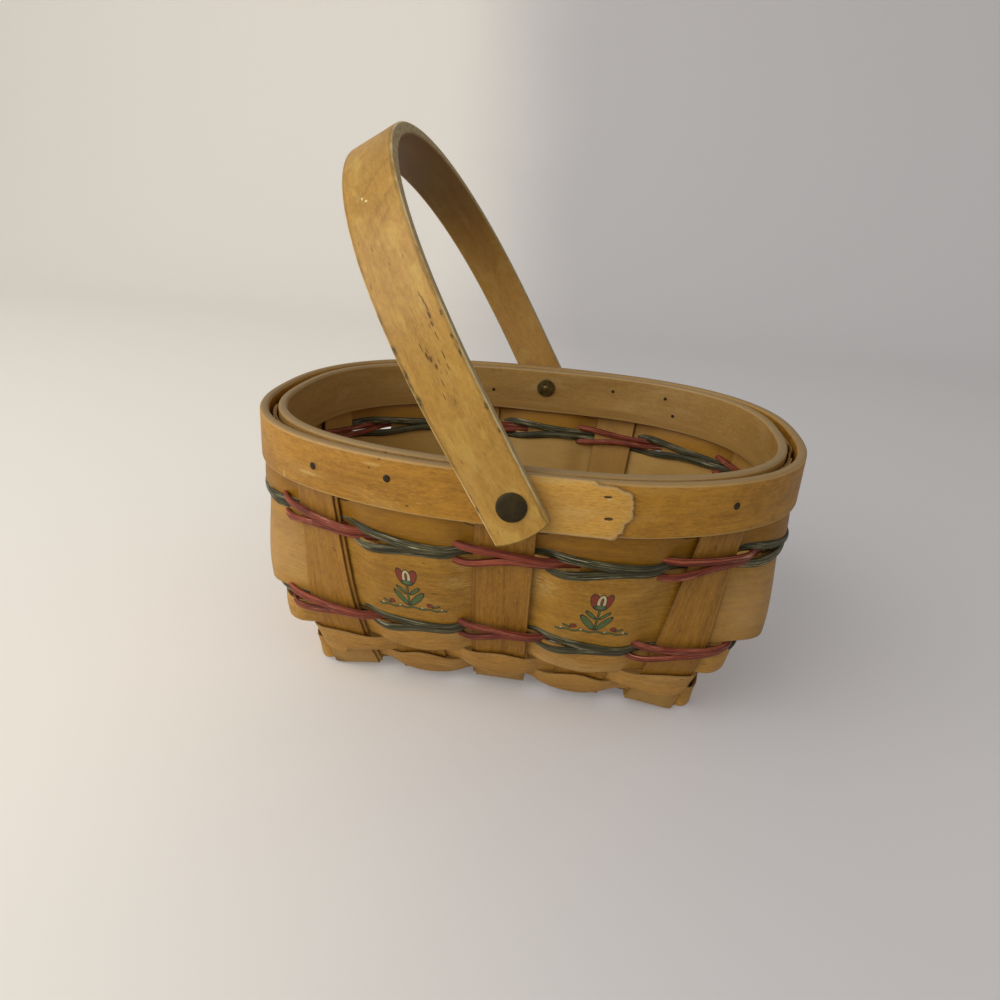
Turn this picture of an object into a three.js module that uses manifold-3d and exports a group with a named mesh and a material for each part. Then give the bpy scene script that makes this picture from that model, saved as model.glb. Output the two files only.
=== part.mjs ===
// Swing-handle basket woven from flat wood strips, with two twined rows of
// coloured reed and a bentwood handle that turns on two rivets.
// Millimetres, +Z up, the floor at z = 0, +X to the right along the basket.

import * as THREE from 'three';
import { mergeVertices } from 'three/addons/utils/BufferGeometryUtils.js';
import Module from 'manifold-3d';

const wasm = await Module();
wasm.setup();

// Outline of the body: an oval rim over a nearly rectangular base
const rimHalfLength = 140.6;
const rimHalfWidth = 111.1;
const rimHeight = 141;
const rimSquareness = 2.5;
const baseHalfLength = 99;
const baseHalfWidth = 59;
const baseSquareness = 18;
const squarenessFade = 3;
const endFlareStart = 1.6;
const endFlareEnd = 3;
const sideFlareStart = 1;
const sideFlareEnd = 1.4;

// Up to this height the two ends stand steeper than the sides
const steepEndHeight = 52;

// How far the middle of the base stands off the floor, and how high that is felt
const baseRiseMiddle = 5;
const baseRisePower = 4;
const baseRiseFade = 30;

// Uprights: five strips cross the base and three run along it
const stakeWidth = 25.4;
const stakeThickness = 0.9;
const stakeRecess = 4;
const stakeBend = 4;
const stakePitchBase = 39.4;
const stakePitchRim = 46.75;
const endPitchBase = 39;
const endPitchRim = 46;
const stakeLean = 3;
const stakesAcross = 5;
const stakesAlong = 3;
const stakeCount = 2 * (stakesAcross + stakesAlong);

// A second strip lies inside every odd upright
const linerWidth = 24;
const linerThickness = 0.8;
const linerShift = 2.6;
const linerGap = 0.5;

// Weavers
const weaverThickness = 0.8;
const stripGap = 0.35;
const rowGap = 0.45;
const firstRowBottom = 8.4;
const rowOneHeight = 11.1;
const rowTwoHeight = 12.6;
const rowThreeHeight = 11;
const rowFourHeight = 12.1;
const rimTuck = 4.4;
const weaverBulge = 0.9;
const cornerReach = 0.6;

// How far a weaver's lower and upper edges stand out where it rounds a corner
const wideCorners = [
  { upright: 6, low: 7.5, high: 1 },
  { upright: 8, low: 4, high: 0.5 },
  { upright: 14, low: 3, high: 0.5 },
  { upright: 16, low: 3, high: 1 },
];
const rimCorners = [
  { upright: 6, low: 3.6, high: 2.4 },
  { upright: 8, low: 2.5, high: 1.5 },
  { upright: 14, low: 2.5, high: 1.5 },
  { upright: 16, low: 3.6, high: 2.4 },
];
const thirdCorners = [
  { upright: 6, low: 7, high: 2.5 },
  { upright: 8, low: 5, high: 1 },
  { upright: 14, low: 4, high: 0.5 },
  { upright: 16, low: 4.5, high: 0.5 },
];
const footCorners = [
  { upright: 6, low: 1.5, high: 0 },
  { upright: 14, low: 2.5, high: 0 },
  { upright: 16, low: 3.5, high: 0.5 },
];

// Each row is wider where it crosses an upright than between two of them; hidden is the
// growth of its lower edge where it passes inside
const swellPower = 3;
const rowOneSwell = { bottom: 7, hidden: 2.8, top: 4, tuck: 0, corners: footCorners };
const rowTwoSwell = { bottom: 4.6, hidden: 4.6, top: 1.4, tuck: 0, corners: [] };
const rowThreeSwell = { bottom: 4.6, hidden: 4.6, top: 1.5, tuck: 0, corners: thirdCorners };
const wideSwell = { bottom: 2.8, hidden: 2.8, top: 1.2, tuck: 0, corners: wideCorners };
const rowFourSwell = { bottom: 2, hidden: 2, top: 0, tuck: rimTuck, corners: rimCorners };

// Twined reeds
const reedDiameter = 2.5;
const reedGap = 0.3;
const reedBulge = 0.6;

// Rim bands
const bandThickness = 4.4;
const outerBandHeight = 24.5;
const innerBandHeight = 28.5;
const bandRound = 1.1;
const rimSpace = 2.3;

// The outer band laps over itself at the front and ends in a broken edge
const lapStart = 4;
const lapTip = 55.4;
const lapTaper = 0.9;
const lapEdge = 1.2;
const brokenSteps = [
  { back: 16.4, top: 0, bottom: 0 },
  { back: 15.4, top: 1.7, bottom: 0 },
  { back: 8.8, top: 2.1, bottom: 0 },
  { back: 6.2, top: 2.7, bottom: -0.7 },
  { back: 5.4, top: 2.9, bottom: 1.5 },
  { back: 3.3, top: 3.7, bottom: 2.8 },
  { back: 2.9, top: 3.9, bottom: 5.6 },
  { back: 1, top: 5.6, bottom: 8.4 },
  { back: 0, top: 7.8, bottom: 9.6 },
];
const nailHoleDiameter = 1.8;
const nailHoleDepth = 2.2;
const nailHoles = [
  { back: 10.8, down: 6.5 },
  { back: 9.3, down: 15.9 },
];

// Handle
const handleWidth = 25.4;
const handleThickness = 6;
const handleEdge = 1.2;
const handleTilt = 31.3;
const handleGap = 1.3;
const handleReach = 164.6;
const handleSpread = [0.3, 0.756, 0.968, 1];
const handleSway = 8;
const handleEase = 20;
const handleFoot = 15.2;
const footRadius = 33.5;
const pivotDrop = 12.1;
const pivotSide = 2.5;
const pivotTurn = 1.4;

// Rivets and their washers
const rivetHeadDiameter = 13;
const rivetHeadHeight = 1.5;
const shankDiameter = 4;
const shankClearance = 0.3;
const burrDiameter = 11.8;
const burrThickness = 1.2;
const peenDiameter = 5;
const peenHeight = 1;
const rivetGap = 0.45;

// Tacks
const tackDiameter = 2.9;
const tackHeight = 0.5;
const tackGap = 0.1;
const tackGapInside = 0.35;

// Colours
const honey = 0xa87a3c;
const amber = 0x8e6128;
const paleWood = 0xb58a4c;
const brickRed = 0x7d3a2e;
const mossGreen = 0x3c4437;
const darkBrass = 0x37280a;
const dullBrass = 0x6b6140;
const darkSteel = 0x3a2c1c;

// Sizes that follow from the ones above
const flareHeight = rimHeight - innerBandHeight;
const outerBandBottom = rimHeight - outerBandHeight;
const midHalfLength = rimHalfLength - bandThickness - rimSpace;
const midHalfWidth = rimHalfWidth - bandThickness - rimSpace;
const reedRadius = reedDiameter / 2;
const reedClose = reedRadius + reedGap / 2;
const reedSpread = reedClose + reedDiameter + reedGap;
const twineReach = reedSpread + reedRadius + rowGap;
const pivotHeight = rimHeight - pivotDrop;
const stakeTop = rimHeight - stakeRecess;
const stakeFace = stakeThickness / 2;
const linerOffset = -(stakeFace + linerGap + linerThickness / 2);
const linerFace = stakeFace + linerGap + linerThickness;
const baseTop = stakeThickness + rowGap;

function rows() {
  const list = {};
  let level = firstRowBottom;
  list.one = { bottom: level, top: level + rowOneHeight };
  level = list.one.top + rowGap;
  list.two = { bottom: level, top: level + rowTwoHeight };
  level = list.two.top + rowGap;
  list.three = { bottom: level, top: level + rowThreeHeight };
  list.lowerTwine = list.three.top + twineReach;
  const topOfFour = outerBandBottom - rowGap;
  list.four = { bottom: topOfFour - rowFourHeight, top: topOfFour };
  list.upperTwine = list.four.bottom - twineReach;
  list.wide = { bottom: list.lowerTwine + twineReach, top: list.upperTwine - twineReach };
  list.five = { bottom: outerBandBottom, top: stakeTop };
  return list;
}

const row = rows();

// The wall surface that the uprights follow
function wallSection(height) {
  const share = Math.min(1, Math.max(0, height / flareHeight));
  const ease = THREE.MathUtils.smoothstep(height, 0, steepEndHeight);
  const endShare = (1 - (1 - share ** endFlareStart) ** endFlareEnd) * ease;
  const sideShare = 1 - (1 - share ** sideFlareStart) ** sideFlareEnd;
  return {
    a: baseHalfLength + (midHalfLength - baseHalfLength) * endShare,
    b: baseHalfWidth + (midHalfWidth - baseHalfWidth) * sideShare,
    n: rimSquareness + (baseSquareness - rimSquareness) * (1 - share) ** squarenessFade,
  };
}

function baseRise(x) {
  const flat = stakePitchBase * (stakesAcross - 1) / 2 - stakeWidth / 2;
  return baseRiseMiddle * Math.max(0, 1 - (x / flat) ** baseRisePower);
}

function ovalPoint(section, angle) {
  const c = Math.abs(Math.cos(angle)) / section.a;
  const s = Math.abs(Math.sin(angle)) / section.b;
  const reach = (c ** section.n + s ** section.n) ** (-1 / section.n);
  return new THREE.Vector2(reach * Math.cos(angle), reach * Math.sin(angle));
}

function wallPoint(angle, height) {
  const flat = ovalPoint(wallSection(height), angle);
  const rise = baseRise(flat.x) * Math.max(0, 1 - height / baseRiseFade);
  return new THREE.Vector3(flat.x, flat.y, height + rise);
}

function wallNormal(angle, height) {
  const across = wallPoint(angle + 0.001, height).sub(wallPoint(angle - 0.001, height));
  const up = wallPoint(angle, height + 0.3).sub(wallPoint(angle, height - 0.3));
  return across.cross(up).normalize();
}

// Angle about the vertical axis of upright k at a height; 1 to 5 are the front
function stakeAngle(k, height) {
  const turn = Math.floor((k - 1) / stakeCount);
  const index = k - turn * stakeCount;
  const share = Math.min(1, Math.max(0, height / flareHeight));
  const pitch = stakePitchBase + (stakePitchRim - stakePitchBase) * share;
  const endPitch = endPitchBase + (endPitchRim - endPitchBase) * share;
  const lean = stakeLean * share;
  const oval = wallSection(height);
  const frontMiddle = (stakesAcross + 1) / 2;
  const rightMiddle = stakesAcross + (stakesAlong + 1) / 2;
  const backMiddle = frontMiddle + stakeCount / 2;
  const leftMiddle = rightMiddle + stakeCount / 2;
  const reachY = (x) => oval.b * Math.max(0.001, 1 - Math.abs(x / oval.a) ** oval.n) ** (1 / oval.n);
  const reachX = (y) => oval.a * Math.max(0.001, 1 - Math.abs(y / oval.b) ** oval.n) ** (1 / oval.n);
  let x;
  let y;
  if (index <= stakesAcross) {
    x = (index - frontMiddle) * pitch + lean;
    y = -reachY(x);
  } else if (index <= stakesAcross + stakesAlong) {
    y = (index - rightMiddle) * endPitch;
    x = reachX(y);
  } else if (index <= 2 * stakesAcross + stakesAlong) {
    x = (backMiddle - index) * pitch + lean;
    y = reachY(x);
  } else {
    y = (leftMiddle - index) * endPitch;
    x = -reachX(y);
  }
  let angle = Math.atan2(y, x);
  if (index > rightMiddle && angle < -Math.PI / 4) {
    angle += 2 * Math.PI;
  }
  return angle + turn * 2 * Math.PI;
}

function weaveAngle(turn, height) {
  const k = Math.floor(turn);
  const share = turn - k;
  return stakeAngle(k, height) * (1 - share) + stakeAngle(k + 1, height) * share;
}

// Builds a closed solid from equal rings of points
function ringSolid(rings, loop) {
  const size = rings[0].length;
  const positions = [];
  const faces = [];
  rings.forEach((ring) => ring.forEach((p) => positions.push(p.x, p.y, p.z)));
  const spans = loop ? rings.length : rings.length - 1;
  for (let i = 0; i < spans; i += 1) {
    const here = i * size;
    const next = ((i + 1) % rings.length) * size;
    for (let j = 0; j < size; j += 1) {
      const k = (j + 1) % size;
      faces.push(here + j, next + j, next + k, here + j, next + k, here + k);
    }
  }
  if (!loop) {
    const last = (rings.length - 1) * size;
    for (let j = 0; j < size / 2 - 1; j += 1) {
      const k = size - 1 - j;
      faces.push(j, j + 1, k, j + 1, k - 1, k);
      faces.push(last + j, last + k, last + j + 1, last + j + 1, last + k, last + k - 1);
    }
  }
  const geometry = new THREE.BufferGeometry();
  geometry.setAttribute('position', new THREE.Float32BufferAttribute(positions, 3));
  geometry.setIndex(faces);
  return facingOut(geometry);
}

// Merges shared vertices, drops empty triangles and turns the faces outward
function facingOut(source) {
  const bare = source.clone();
  bare.deleteAttribute('normal');
  bare.deleteAttribute('uv');
  const merged = mergeVertices(bare, 1e-4);
  const index = merged.index.array;
  const place = merged.attributes.position;
  const a = new THREE.Vector3();
  const b = new THREE.Vector3();
  const c = new THREE.Vector3();
  const kept = [];
  let volume = 0;
  for (let i = 0; i < index.length; i += 3) {
    const [p, q, r] = [index[i], index[i + 1], index[i + 2]];
    if (p !== q && q !== r && r !== p) {
      a.fromBufferAttribute(place, p);
      b.fromBufferAttribute(place, q);
      c.fromBufferAttribute(place, r);
      volume += a.dot(b.cross(c));
      kept.push(p, q, r);
    }
  }
  if (volume < 0) {
    for (let i = 0; i < kept.length; i += 3) {
      [kept[i + 1], kept[i + 2]] = [kept[i + 2], kept[i + 1]];
    }
  }
  merged.setIndex(kept);
  return merged;
}

function toManifold(geometry) {
  return new wasm.Manifold(new wasm.Mesh({
    numProp: 3,
    vertProperties: new Float32Array(geometry.attributes.position.array),
    triVerts: new Uint32Array(geometry.index.array),
  }));
}

function cut(geometry, tools) {
  let solid = toManifold(geometry);
  tools.forEach((tool) => {
    solid = solid.subtract(toManifold(tool));
  });
  const mesh = solid.getMesh();
  const result = new THREE.BufferGeometry();
  result.setAttribute('position', new THREE.Float32BufferAttribute(mesh.vertProperties, 3));
  result.setIndex(Array.from(mesh.triVerts));
  return result;
}

// A strip's ring from samples across it, each a point and the way it faces
function stripRing(samples, thickness) {
  const outer = samples.map((s) => s.point.clone().addScaledVector(s.normal, thickness / 2));
  const inner = samples.map((s) => s.point.clone().addScaledVector(s.normal, -thickness / 2));
  return outer.concat(inner.reverse());
}

// Angle reached after a distance along the outline at a height
function stepAlong(angle, height, distance) {
  const steps = 8;
  let at = angle;
  for (let i = 0; i < steps; i += 1) {
    const speed = wallPoint(at + 0.001, height).distanceTo(wallPoint(at - 0.001, height)) / 0.002;
    at += distance / steps / speed;
  }
  return at;
}

function stakeSamples(k, height, width, side, offset) {
  return [-0.5, 0, 0.5].map((share) => {
    const angle = stepAlong(stakeAngle(k, height), height, side + share * width);
    const normal = wallNormal(angle, height);
    return { point: wallPoint(angle, height).addScaledVector(normal, offset), normal };
  });
}

// Heights of the wall stations of an upright, from the end of its bend up
function stakeHeights() {
  const first = 1.5 * stakeBend;
  return [0, 0.07, 0.14, 0.22, 0.3, 0.39, 0.48, 0.58, 0.7, 0.84, 1]
    .map((share) => first + (stakeTop - first) * share);
}

// The bend from the base up into the wall, then the wall up to the rim
function stakeWall(k, baseLevel) {
  const heights = stakeHeights();
  const corner = 1 - Math.SQRT1_2;
  const top = stakeSamples(k, heights[0], stakeWidth, 0, 0);
  const bend = [0, corner].map((rise) => {
    const inset = stakeBend * (rise === 0 ? 1 : corner);
    return stakeSamples(k, heights[0] * rise, stakeWidth, 0, 0).map((sample, i) => {
      const level = sample.normal.clone().setZ(0).normalize();
      const point = sample.point.clone().addScaledVector(level, -inset);
      const foot = baseLevel(point);
      point.z = foot + (top[i].point.z - foot) * rise;
      const normal = rise === 0 ? new THREE.Vector3(0, 0, -1) : level.setZ(-1).normalize();
      return { point, normal };
    });
  });
  return bend.concat(heights.map((height) => stakeSamples(k, height, stakeWidth, 0, 0)));
}

// Middle of a base strip at a crossing; strips pass over and under in turn
function baseLevelFor(across, along, x) {
  const upper = (across + along) % 2 === 0;
  return stakeThickness / 2 + (upper ? baseTop : 0) + baseRise(x);
}

// One strip across the base from the front rim to the back rim
function acrossStake(i) {
  const x = (i - (stakesAcross + 1) / 2) * stakePitchBase;
  const half = (stakesAlong - 1) / 2;
  const front = stakeWall(i, (p) => baseLevelFor(i, -half + 4, p.x));
  const opposite = 2 * stakesAcross + stakesAlong + 1 - i;
  const back = stakeWall(opposite, (p) => baseLevelFor(i, half + 4, p.x));
  const middle = [];
  for (let j = -half; j <= half; j += 1) {
    [-0.5, 0.5].forEach((share) => {
      const y = j * endPitchBase + share * stakeWidth;
      middle.push([-0.5, 0, 0.5].map((side) => {
        const sx = x + side * stakeWidth;
        return {
          point: new THREE.Vector3(sx, y, baseLevelFor(i, j + 4, sx)),
          normal: new THREE.Vector3(0, 0, -1),
        };
      }));
    });
  }
  const mirrored = back.map((samples) => samples.slice().reverse());
  const path = front.slice().reverse().concat(middle, mirrored);
  return ringSolid(path.map((samples) => stripRing(samples, stakeThickness)), false);
}

// One strip along the base from the left rim to the right rim
function alongStake(j) {
  const half = (stakesAlong - 1) / 2;
  const y = (j - half) * endPitchBase;
  const along = j - half + 4;
  const right = stakeWall(stakesAcross + 1 + j, (p) => baseLevelFor(stakesAcross + 1, along, p.x));
  const left = stakeWall(stakeCount - j, (p) => baseLevelFor(stakesAcross + 1, along, p.x));
  const middle = [];
  for (let i = 1; i <= stakesAcross; i += 1) {
    [-0.5, 0, 0.5].forEach((share) => {
      const x = (i - (stakesAcross + 1) / 2) * stakePitchBase + share * stakeWidth;
      middle.push([-0.5, 0, 0.5].map((side) => {
        const sy = y + side * stakeWidth;
        return {
          point: new THREE.Vector3(x, sy, baseLevelFor(i + 1, along, x)),
          normal: new THREE.Vector3(0, 0, -1),
        };
      }));
    });
  }
  const mirrored = left.slice().reverse().map((samples) => samples.slice().reverse());
  const path = mirrored.concat(middle, right);
  return ringSolid(path.map((samples) => stripRing(samples, stakeThickness)), false);
}

// The strip that doubles an odd upright on its inside
function liner(k) {
  const side = k % 4 === 1 ? linerShift : -linerShift;
  const rings = stakeHeights().map((height) => (
    stripRing(stakeSamples(k, height, linerWidth, side, linerOffset), linerThickness)
  ));
  return ringSolid(rings, false);
}

// Share of the full offset that a weaver keeps at a distance from an upright
function weaveShape(turn, power) {
  const c = Math.cos(Math.PI * turn);
  return Math.sign(c) * Math.abs(c) ** power;
}

const weaveSteps = [0, 0.25, 0.42, 0.58, 0.75];
const reedSteps = [0, 0.35, 0.5, 0.65];
const weavePower = 0.4;
const bandPower = 0.2;
const reedPower = 0.3;

// Share of the offset left where the edge of a strip on an upright passes
function shareAt(reach, steps, power) {
  const edge = reach / stakePitchBase;
  const after = steps.find((s) => s >= edge);
  const before = steps[steps.indexOf(after) - 1];
  const blend = (edge - before) / (after - before);
  return weaveShape(before, power) * (1 - blend) + weaveShape(after, power) * blend;
}

// Offsets of a weaver of a given half thickness outside and inside the uprights
function weaveOffsets(parity, half, steps, power, bulge) {
  const edge = shareAt(stakeWidth / 2, steps, power);
  const linerEdge = shareAt(linerWidth / 2 + linerShift, steps, power);
  const overLiner = (linerFace + stripGap + half) / linerEdge;
  const overStake = (stakeFace + stripGap + half) / edge;
  return { outer: overStake + bulge, inner: parity === 0 ? overLiner : overStake };
}

// How far an edge stands out near the corners; share runs up the strip
function cornerLift(turn, share, corners) {
  return corners.reduce((sum, corner) => {
    const away = Math.abs(turn - corner.upright) / cornerReach;
    const near = away < 1 ? Math.cos(Math.PI * away / 2) ** 2 : 0;
    return sum + near * (corner.low + (corner.high - corner.low) * share);
  }, 0);
}

// A flat weaver round the wall; parity 0 is outside at even uprights
function weaver(level, parity, swell, sections) {
  const half = weaverThickness / 2;
  const offsets = weaveOffsets(parity, half, weaveSteps, weavePower, weaverBulge);
  const rings = [];
  for (let k = 1; k <= stakeCount; k += 1) {
    weaveSteps.forEach((step) => {
      const turn = k + step;
      const shape = weaveShape(turn + parity, weavePower);
      const spread = Math.abs(Math.cos(Math.PI * turn)) ** swellPower;
      const bottom = level.bottom - (shape < 0 ? swell.hidden : swell.bottom) * spread;
      const top = level.top + swell.top * spread - (shape < 0 ? swell.tuck : 0);
      const samples = [];
      for (let s = 0; s <= sections; s += 1) {
        const height = bottom + (top - bottom) * s / sections;
        const angle = weaveAngle(turn, height);
        const normal = wallNormal(angle, height);
        const offset = shape * (shape > 0 ? offsets.outer : offsets.inner)
          + cornerLift(turn, s / sections, swell.corners);
        samples.push({ point: wallPoint(angle, height).addScaledVector(normal, offset), normal });
      }
      rings.push(stripRing(samples, weaverThickness));
    });
  }
  return ringSolid(rings, true);
}

// The weaver hidden between the two rim bands
function bandWeaver() {
  const edge = shareAt(stakeWidth / 2, weaveSteps, bandPower);
  const reach = (stakeFace + stripGap + weaverThickness / 2) / edge;
  const rings = [];
  for (let k = 1; k <= stakeCount; k += 1) {
    weaveSteps.forEach((step) => {
      const turn = k + step;
      const samples = [row.five.bottom, row.five.top].map((height) => {
        const angle = weaveAngle(turn, height);
        const normal = wallNormal(angle, height);
        const offset = reach * weaveShape(turn + 1, bandPower);
        return { point: wallPoint(angle, height).addScaledVector(normal, offset), normal };
      });
      rings.push(stripRing(samples, weaverThickness));
    });
  }
  return ringSolid(rings, true);
}

// One reed of a twined row; parity 1 is outside at odd uprights
function reed(centre, parity, side) {
  const offsets = weaveOffsets(parity, reedRadius, reedSteps, reedPower, reedBulge);
  const sides = 5;
  const rings = [];
  for (let k = 1; k <= stakeCount; k += 1) {
    reedSteps.forEach((step) => {
      const turn = k + step;
      const shape = weaveShape(turn + parity, reedPower);
      const opening = ((1 + Math.cos(Math.PI * (turn + parity + 0.5))) / 2) ** 2;
      const height = centre + side * (reedClose + (reedSpread - reedClose) * opening);
      const angle = weaveAngle(turn, height);
      const normal = wallNormal(angle, height);
      const offset = shape * (shape > 0 ? offsets.outer : offsets.inner);
      const middle = wallPoint(angle, height).addScaledVector(normal, offset);
      const up = wallPoint(angle, height + 0.5).sub(wallPoint(angle, height - 0.5)).normalize();
      const ring = [];
      for (let s = 0; s < sides; s += 1) {
        const around = 2 * Math.PI * s / sides;
        ring.push(middle.clone()
          .addScaledVector(normal, reedRadius * Math.cos(around))
          .addScaledVector(up, reedRadius * Math.sin(around)));
      }
      rings.push(ring);
    });
  }
  return ringSolid(rings, true);
}

// Rim bands follow the oval at a set distance outside its middle line
const rimOval = { a: midHalfLength, b: midHalfWidth, n: rimSquareness };

function rimFrame(angle) {
  const here = ovalPoint(rimOval, angle);
  const ahead = ovalPoint(rimOval, angle + 0.001);
  const behind = ovalPoint(rimOval, angle - 0.001);
  const along = ahead.sub(behind).normalize();
  return { point: here, normal: new THREE.Vector2(along.y, -along.x) };
}

function bandRing(angle, inside, outside, bottom, top) {
  const frame = rimFrame(angle);
  const round = Math.min(bandRound, (outside - inside) / 3);
  const at = (offset, z) => new THREE.Vector3(
    frame.point.x + frame.normal.x * offset,
    frame.point.y + frame.normal.y * offset,
    z,
  );
  return [
    at(inside, bottom),
    at(outside, bottom),
    at(outside, top - round),
    at(outside - round, top),
    at(inside + round, top),
    at(inside, top - round),
  ];
}

// Angle of the front point of the rim at a place along the basket
function frontAngle(x) {
  const y = rimOval.b * (1 - Math.abs(x / rimOval.a) ** rimOval.n) ** (1 / rimOval.n);
  return Math.atan2(-y, x);
}

const bandFace = rimSpace + bandThickness;
const bandStations = 76;

function innerBand() {
  const rings = [];
  for (let i = 0; i < bandStations; i += 1) {
    const angle = 2 * Math.PI * i / bandStations;
    rings.push(bandRing(angle, -bandFace, -rimSpace, flareHeight, rimHeight));
  }
  return cut(ringSolid(rings, true), [shankHole(-1), shankHole(1)]);
}

function outerBand() {
  const scarf = (x) => Math.min(1, Math.max(0, (x - lapStart) / (lapTip - lapStart)));
  const under = (x) => lapTaper + (bandThickness - lapTaper) * scarf(x);
  const rings = [];
  const startSteps = 5;
  for (let i = 0; i <= startSteps; i += 1) {
    const x = lapStart + (lapTip - lapStart) * i / startSteps;
    rings.push(bandRing(frontAngle(x), rimSpace, rimSpace + under(x), outerBandBottom, rimHeight));
  }
  const from = frontAngle(lapTip);
  const to = frontAngle(lapStart) + 2 * Math.PI;
  for (let i = 1; i < bandStations; i += 1) {
    const angle = from + (to - from) * i / bandStations;
    rings.push(bandRing(angle, rimSpace, bandFace, outerBandBottom, rimHeight));
  }
  const lift = (x) => (lapEdge + stripGap) * scarf(x);
  const lapRing = (x, topCut, bottomCut) => bandRing(
    frontAngle(x) + 2 * Math.PI,
    rimSpace + under(x) + stripGap,
    bandFace + lift(x),
    outerBandBottom + bottomCut,
    rimHeight - topCut,
  );
  const lastPlain = frontAngle(lapStart - 1) + 2 * Math.PI;
  rings.push(bandRing(lastPlain, rimSpace, bandFace, outerBandBottom, rimHeight));
  rings.push(lapRing(lapStart - 0.5, 0, 0));
  const plain = lapTip - brokenSteps[0].back - lapStart;
  [0.3, 0.65].forEach((share) => rings.push(lapRing(lapStart + plain * share, 0, 0)));
  brokenSteps.forEach((step) => rings.push(lapRing(lapTip - step.back, step.top, step.bottom)));
  const holes = nailHoles.map((hole) => {
    const x = lapTip - hole.back;
    const frame = rimFrame(frontAngle(x));
    const reach = bandFace + lift(x) + 1;
    const drill = new THREE.CylinderGeometry(
      nailHoleDiameter / 2,
      nailHoleDiameter / 2,
      nailHoleDepth + 1,
      8,
    );
    drill.translate(0, (nailHoleDepth + 1) / 2, 0);
    drill.rotateZ(Math.PI);
    drill.rotateZ(Math.atan2(frame.normal.y, frame.normal.x) - Math.PI / 2);
    drill.translate(
      frame.point.x + frame.normal.x * reach,
      frame.point.y + frame.normal.y * reach,
      rimHeight - hole.down,
    );
    return facingOut(drill);
  });
  return cut(ringSolid(rings, false), [shankHole(-1), shankHole(1), ...holes]);
}

// Clearance hole for a rivet shank through everything at the pivot
function shankHole(side) {
  const drill = new THREE.CylinderGeometry(
    shankDiameter / 2 + shankClearance,
    shankDiameter / 2 + shankClearance,
    rimHalfWidth,
    16,
  );
  drill.translate(0, side * rimHalfWidth, 0);
  drill.rotateZ(THREE.MathUtils.degToRad(pivotTurn));
  drill.translate(pivotSide, 0, pivotHeight);
  return facingOut(drill);
}

const handleInner = rimHalfWidth + handleGap;
const handleOuter = handleInner + handleThickness;

// Distance of the handle's outer face from the pivot line at an angle; cosines
// through the given reaches keep the legs upright at the pivot
function handleRadius(angle) {
  const swell = [0, ...handleSpread];
  const reach = swell.map((share) => handleOuter + (handleReach - handleOuter) * share);
  const n = reach.length - 1;
  const half = (i) => (i === 0 || i === n ? 0.5 : 1);
  let sum = 0;
  for (let k = 0; k <= n; k += 1) {
    const terms = reach.map((r, j) => half(j) * r * Math.cos(Math.PI * j * k / n));
    const weight = terms.reduce((total, term) => total + term, 0) * 2 / n;
    sum += half(k) * weight * Math.cos(2 * k * angle);
  }
  return sum;
}

// Outer line of the handle in its own plane: out along Y, up along Z
function handleLine() {
  const points = [new THREE.Vector3(0, -handleOuter, -2 * footRadius)];
  points.push(new THREE.Vector3(0, -handleOuter, -footRadius));
  points.push(new THREE.Vector3(0, -handleOuter, -footRadius / 2));
  const steps = 36;
  for (let i = 0; i <= steps; i += 1) {
    const angle = Math.PI * i / steps;
    const r = handleRadius(angle);
    points.push(new THREE.Vector3(0, -r * Math.cos(angle), r * Math.sin(angle)));
  }
  points.push(new THREE.Vector3(0, handleOuter, -footRadius / 2));
  points.push(new THREE.Vector3(0, handleOuter, -footRadius));
  points.push(new THREE.Vector3(0, handleOuter, -2 * footRadius));
  return new THREE.CatmullRomCurve3(points, false, 'centripetal');
}

// How far the handle leans back at a height above the pivot
function handleLean(height) {
  const rise = (z) => Math.hypot(z, handleEase) - handleEase;
  return handleSway * rise(Math.max(0, height)) / rise(handleReach);
}

function handle() {
  const curve = handleLine();
  const count = 400;
  const points = curve.getSpacedPoints(count);
  const first = points.findIndex((p) => p.z > -handleFoot - 3);
  const last = count - first;
  const stations = 46;
  const rings = [];
  for (let i = 0; i <= stations; i += 1) {
    const at = Math.round(first + (last - first) * i / stations);
    const ahead = points[Math.min(count, at + 1)];
    const behind = points[Math.max(0, at - 1)];
    const along = ahead.clone().sub(behind).normalize();
    const inward = new THREE.Vector3(0, along.z, -along.y);
    const sway = handleLean(points[at].z);
    const corner = (x, depth) => new THREE.Vector3(x, 0, 0)
      .add(points[at])
      .addScaledVector(inward, depth)
      .add(new THREE.Vector3(0, sway, 0));
    const w = handleWidth / 2;
    const e = handleEdge;
    const t = handleThickness;
    rings.push([
      corner(-w, e), corner(-w + e, 0), corner(w - e, 0), corner(w, e),
      corner(w, t - e), corner(w - e, t), corner(-w + e, t), corner(-w, t - e),
    ]);
  }
  const hole = new THREE.CylinderGeometry(
    shankDiameter / 2 + shankClearance,
    shankDiameter / 2 + shankClearance,
    3 * handleOuter,
    20,
  );
  return cut(ringSolid(rings, false), [facingOut(hole), footTool()]);
}

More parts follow.
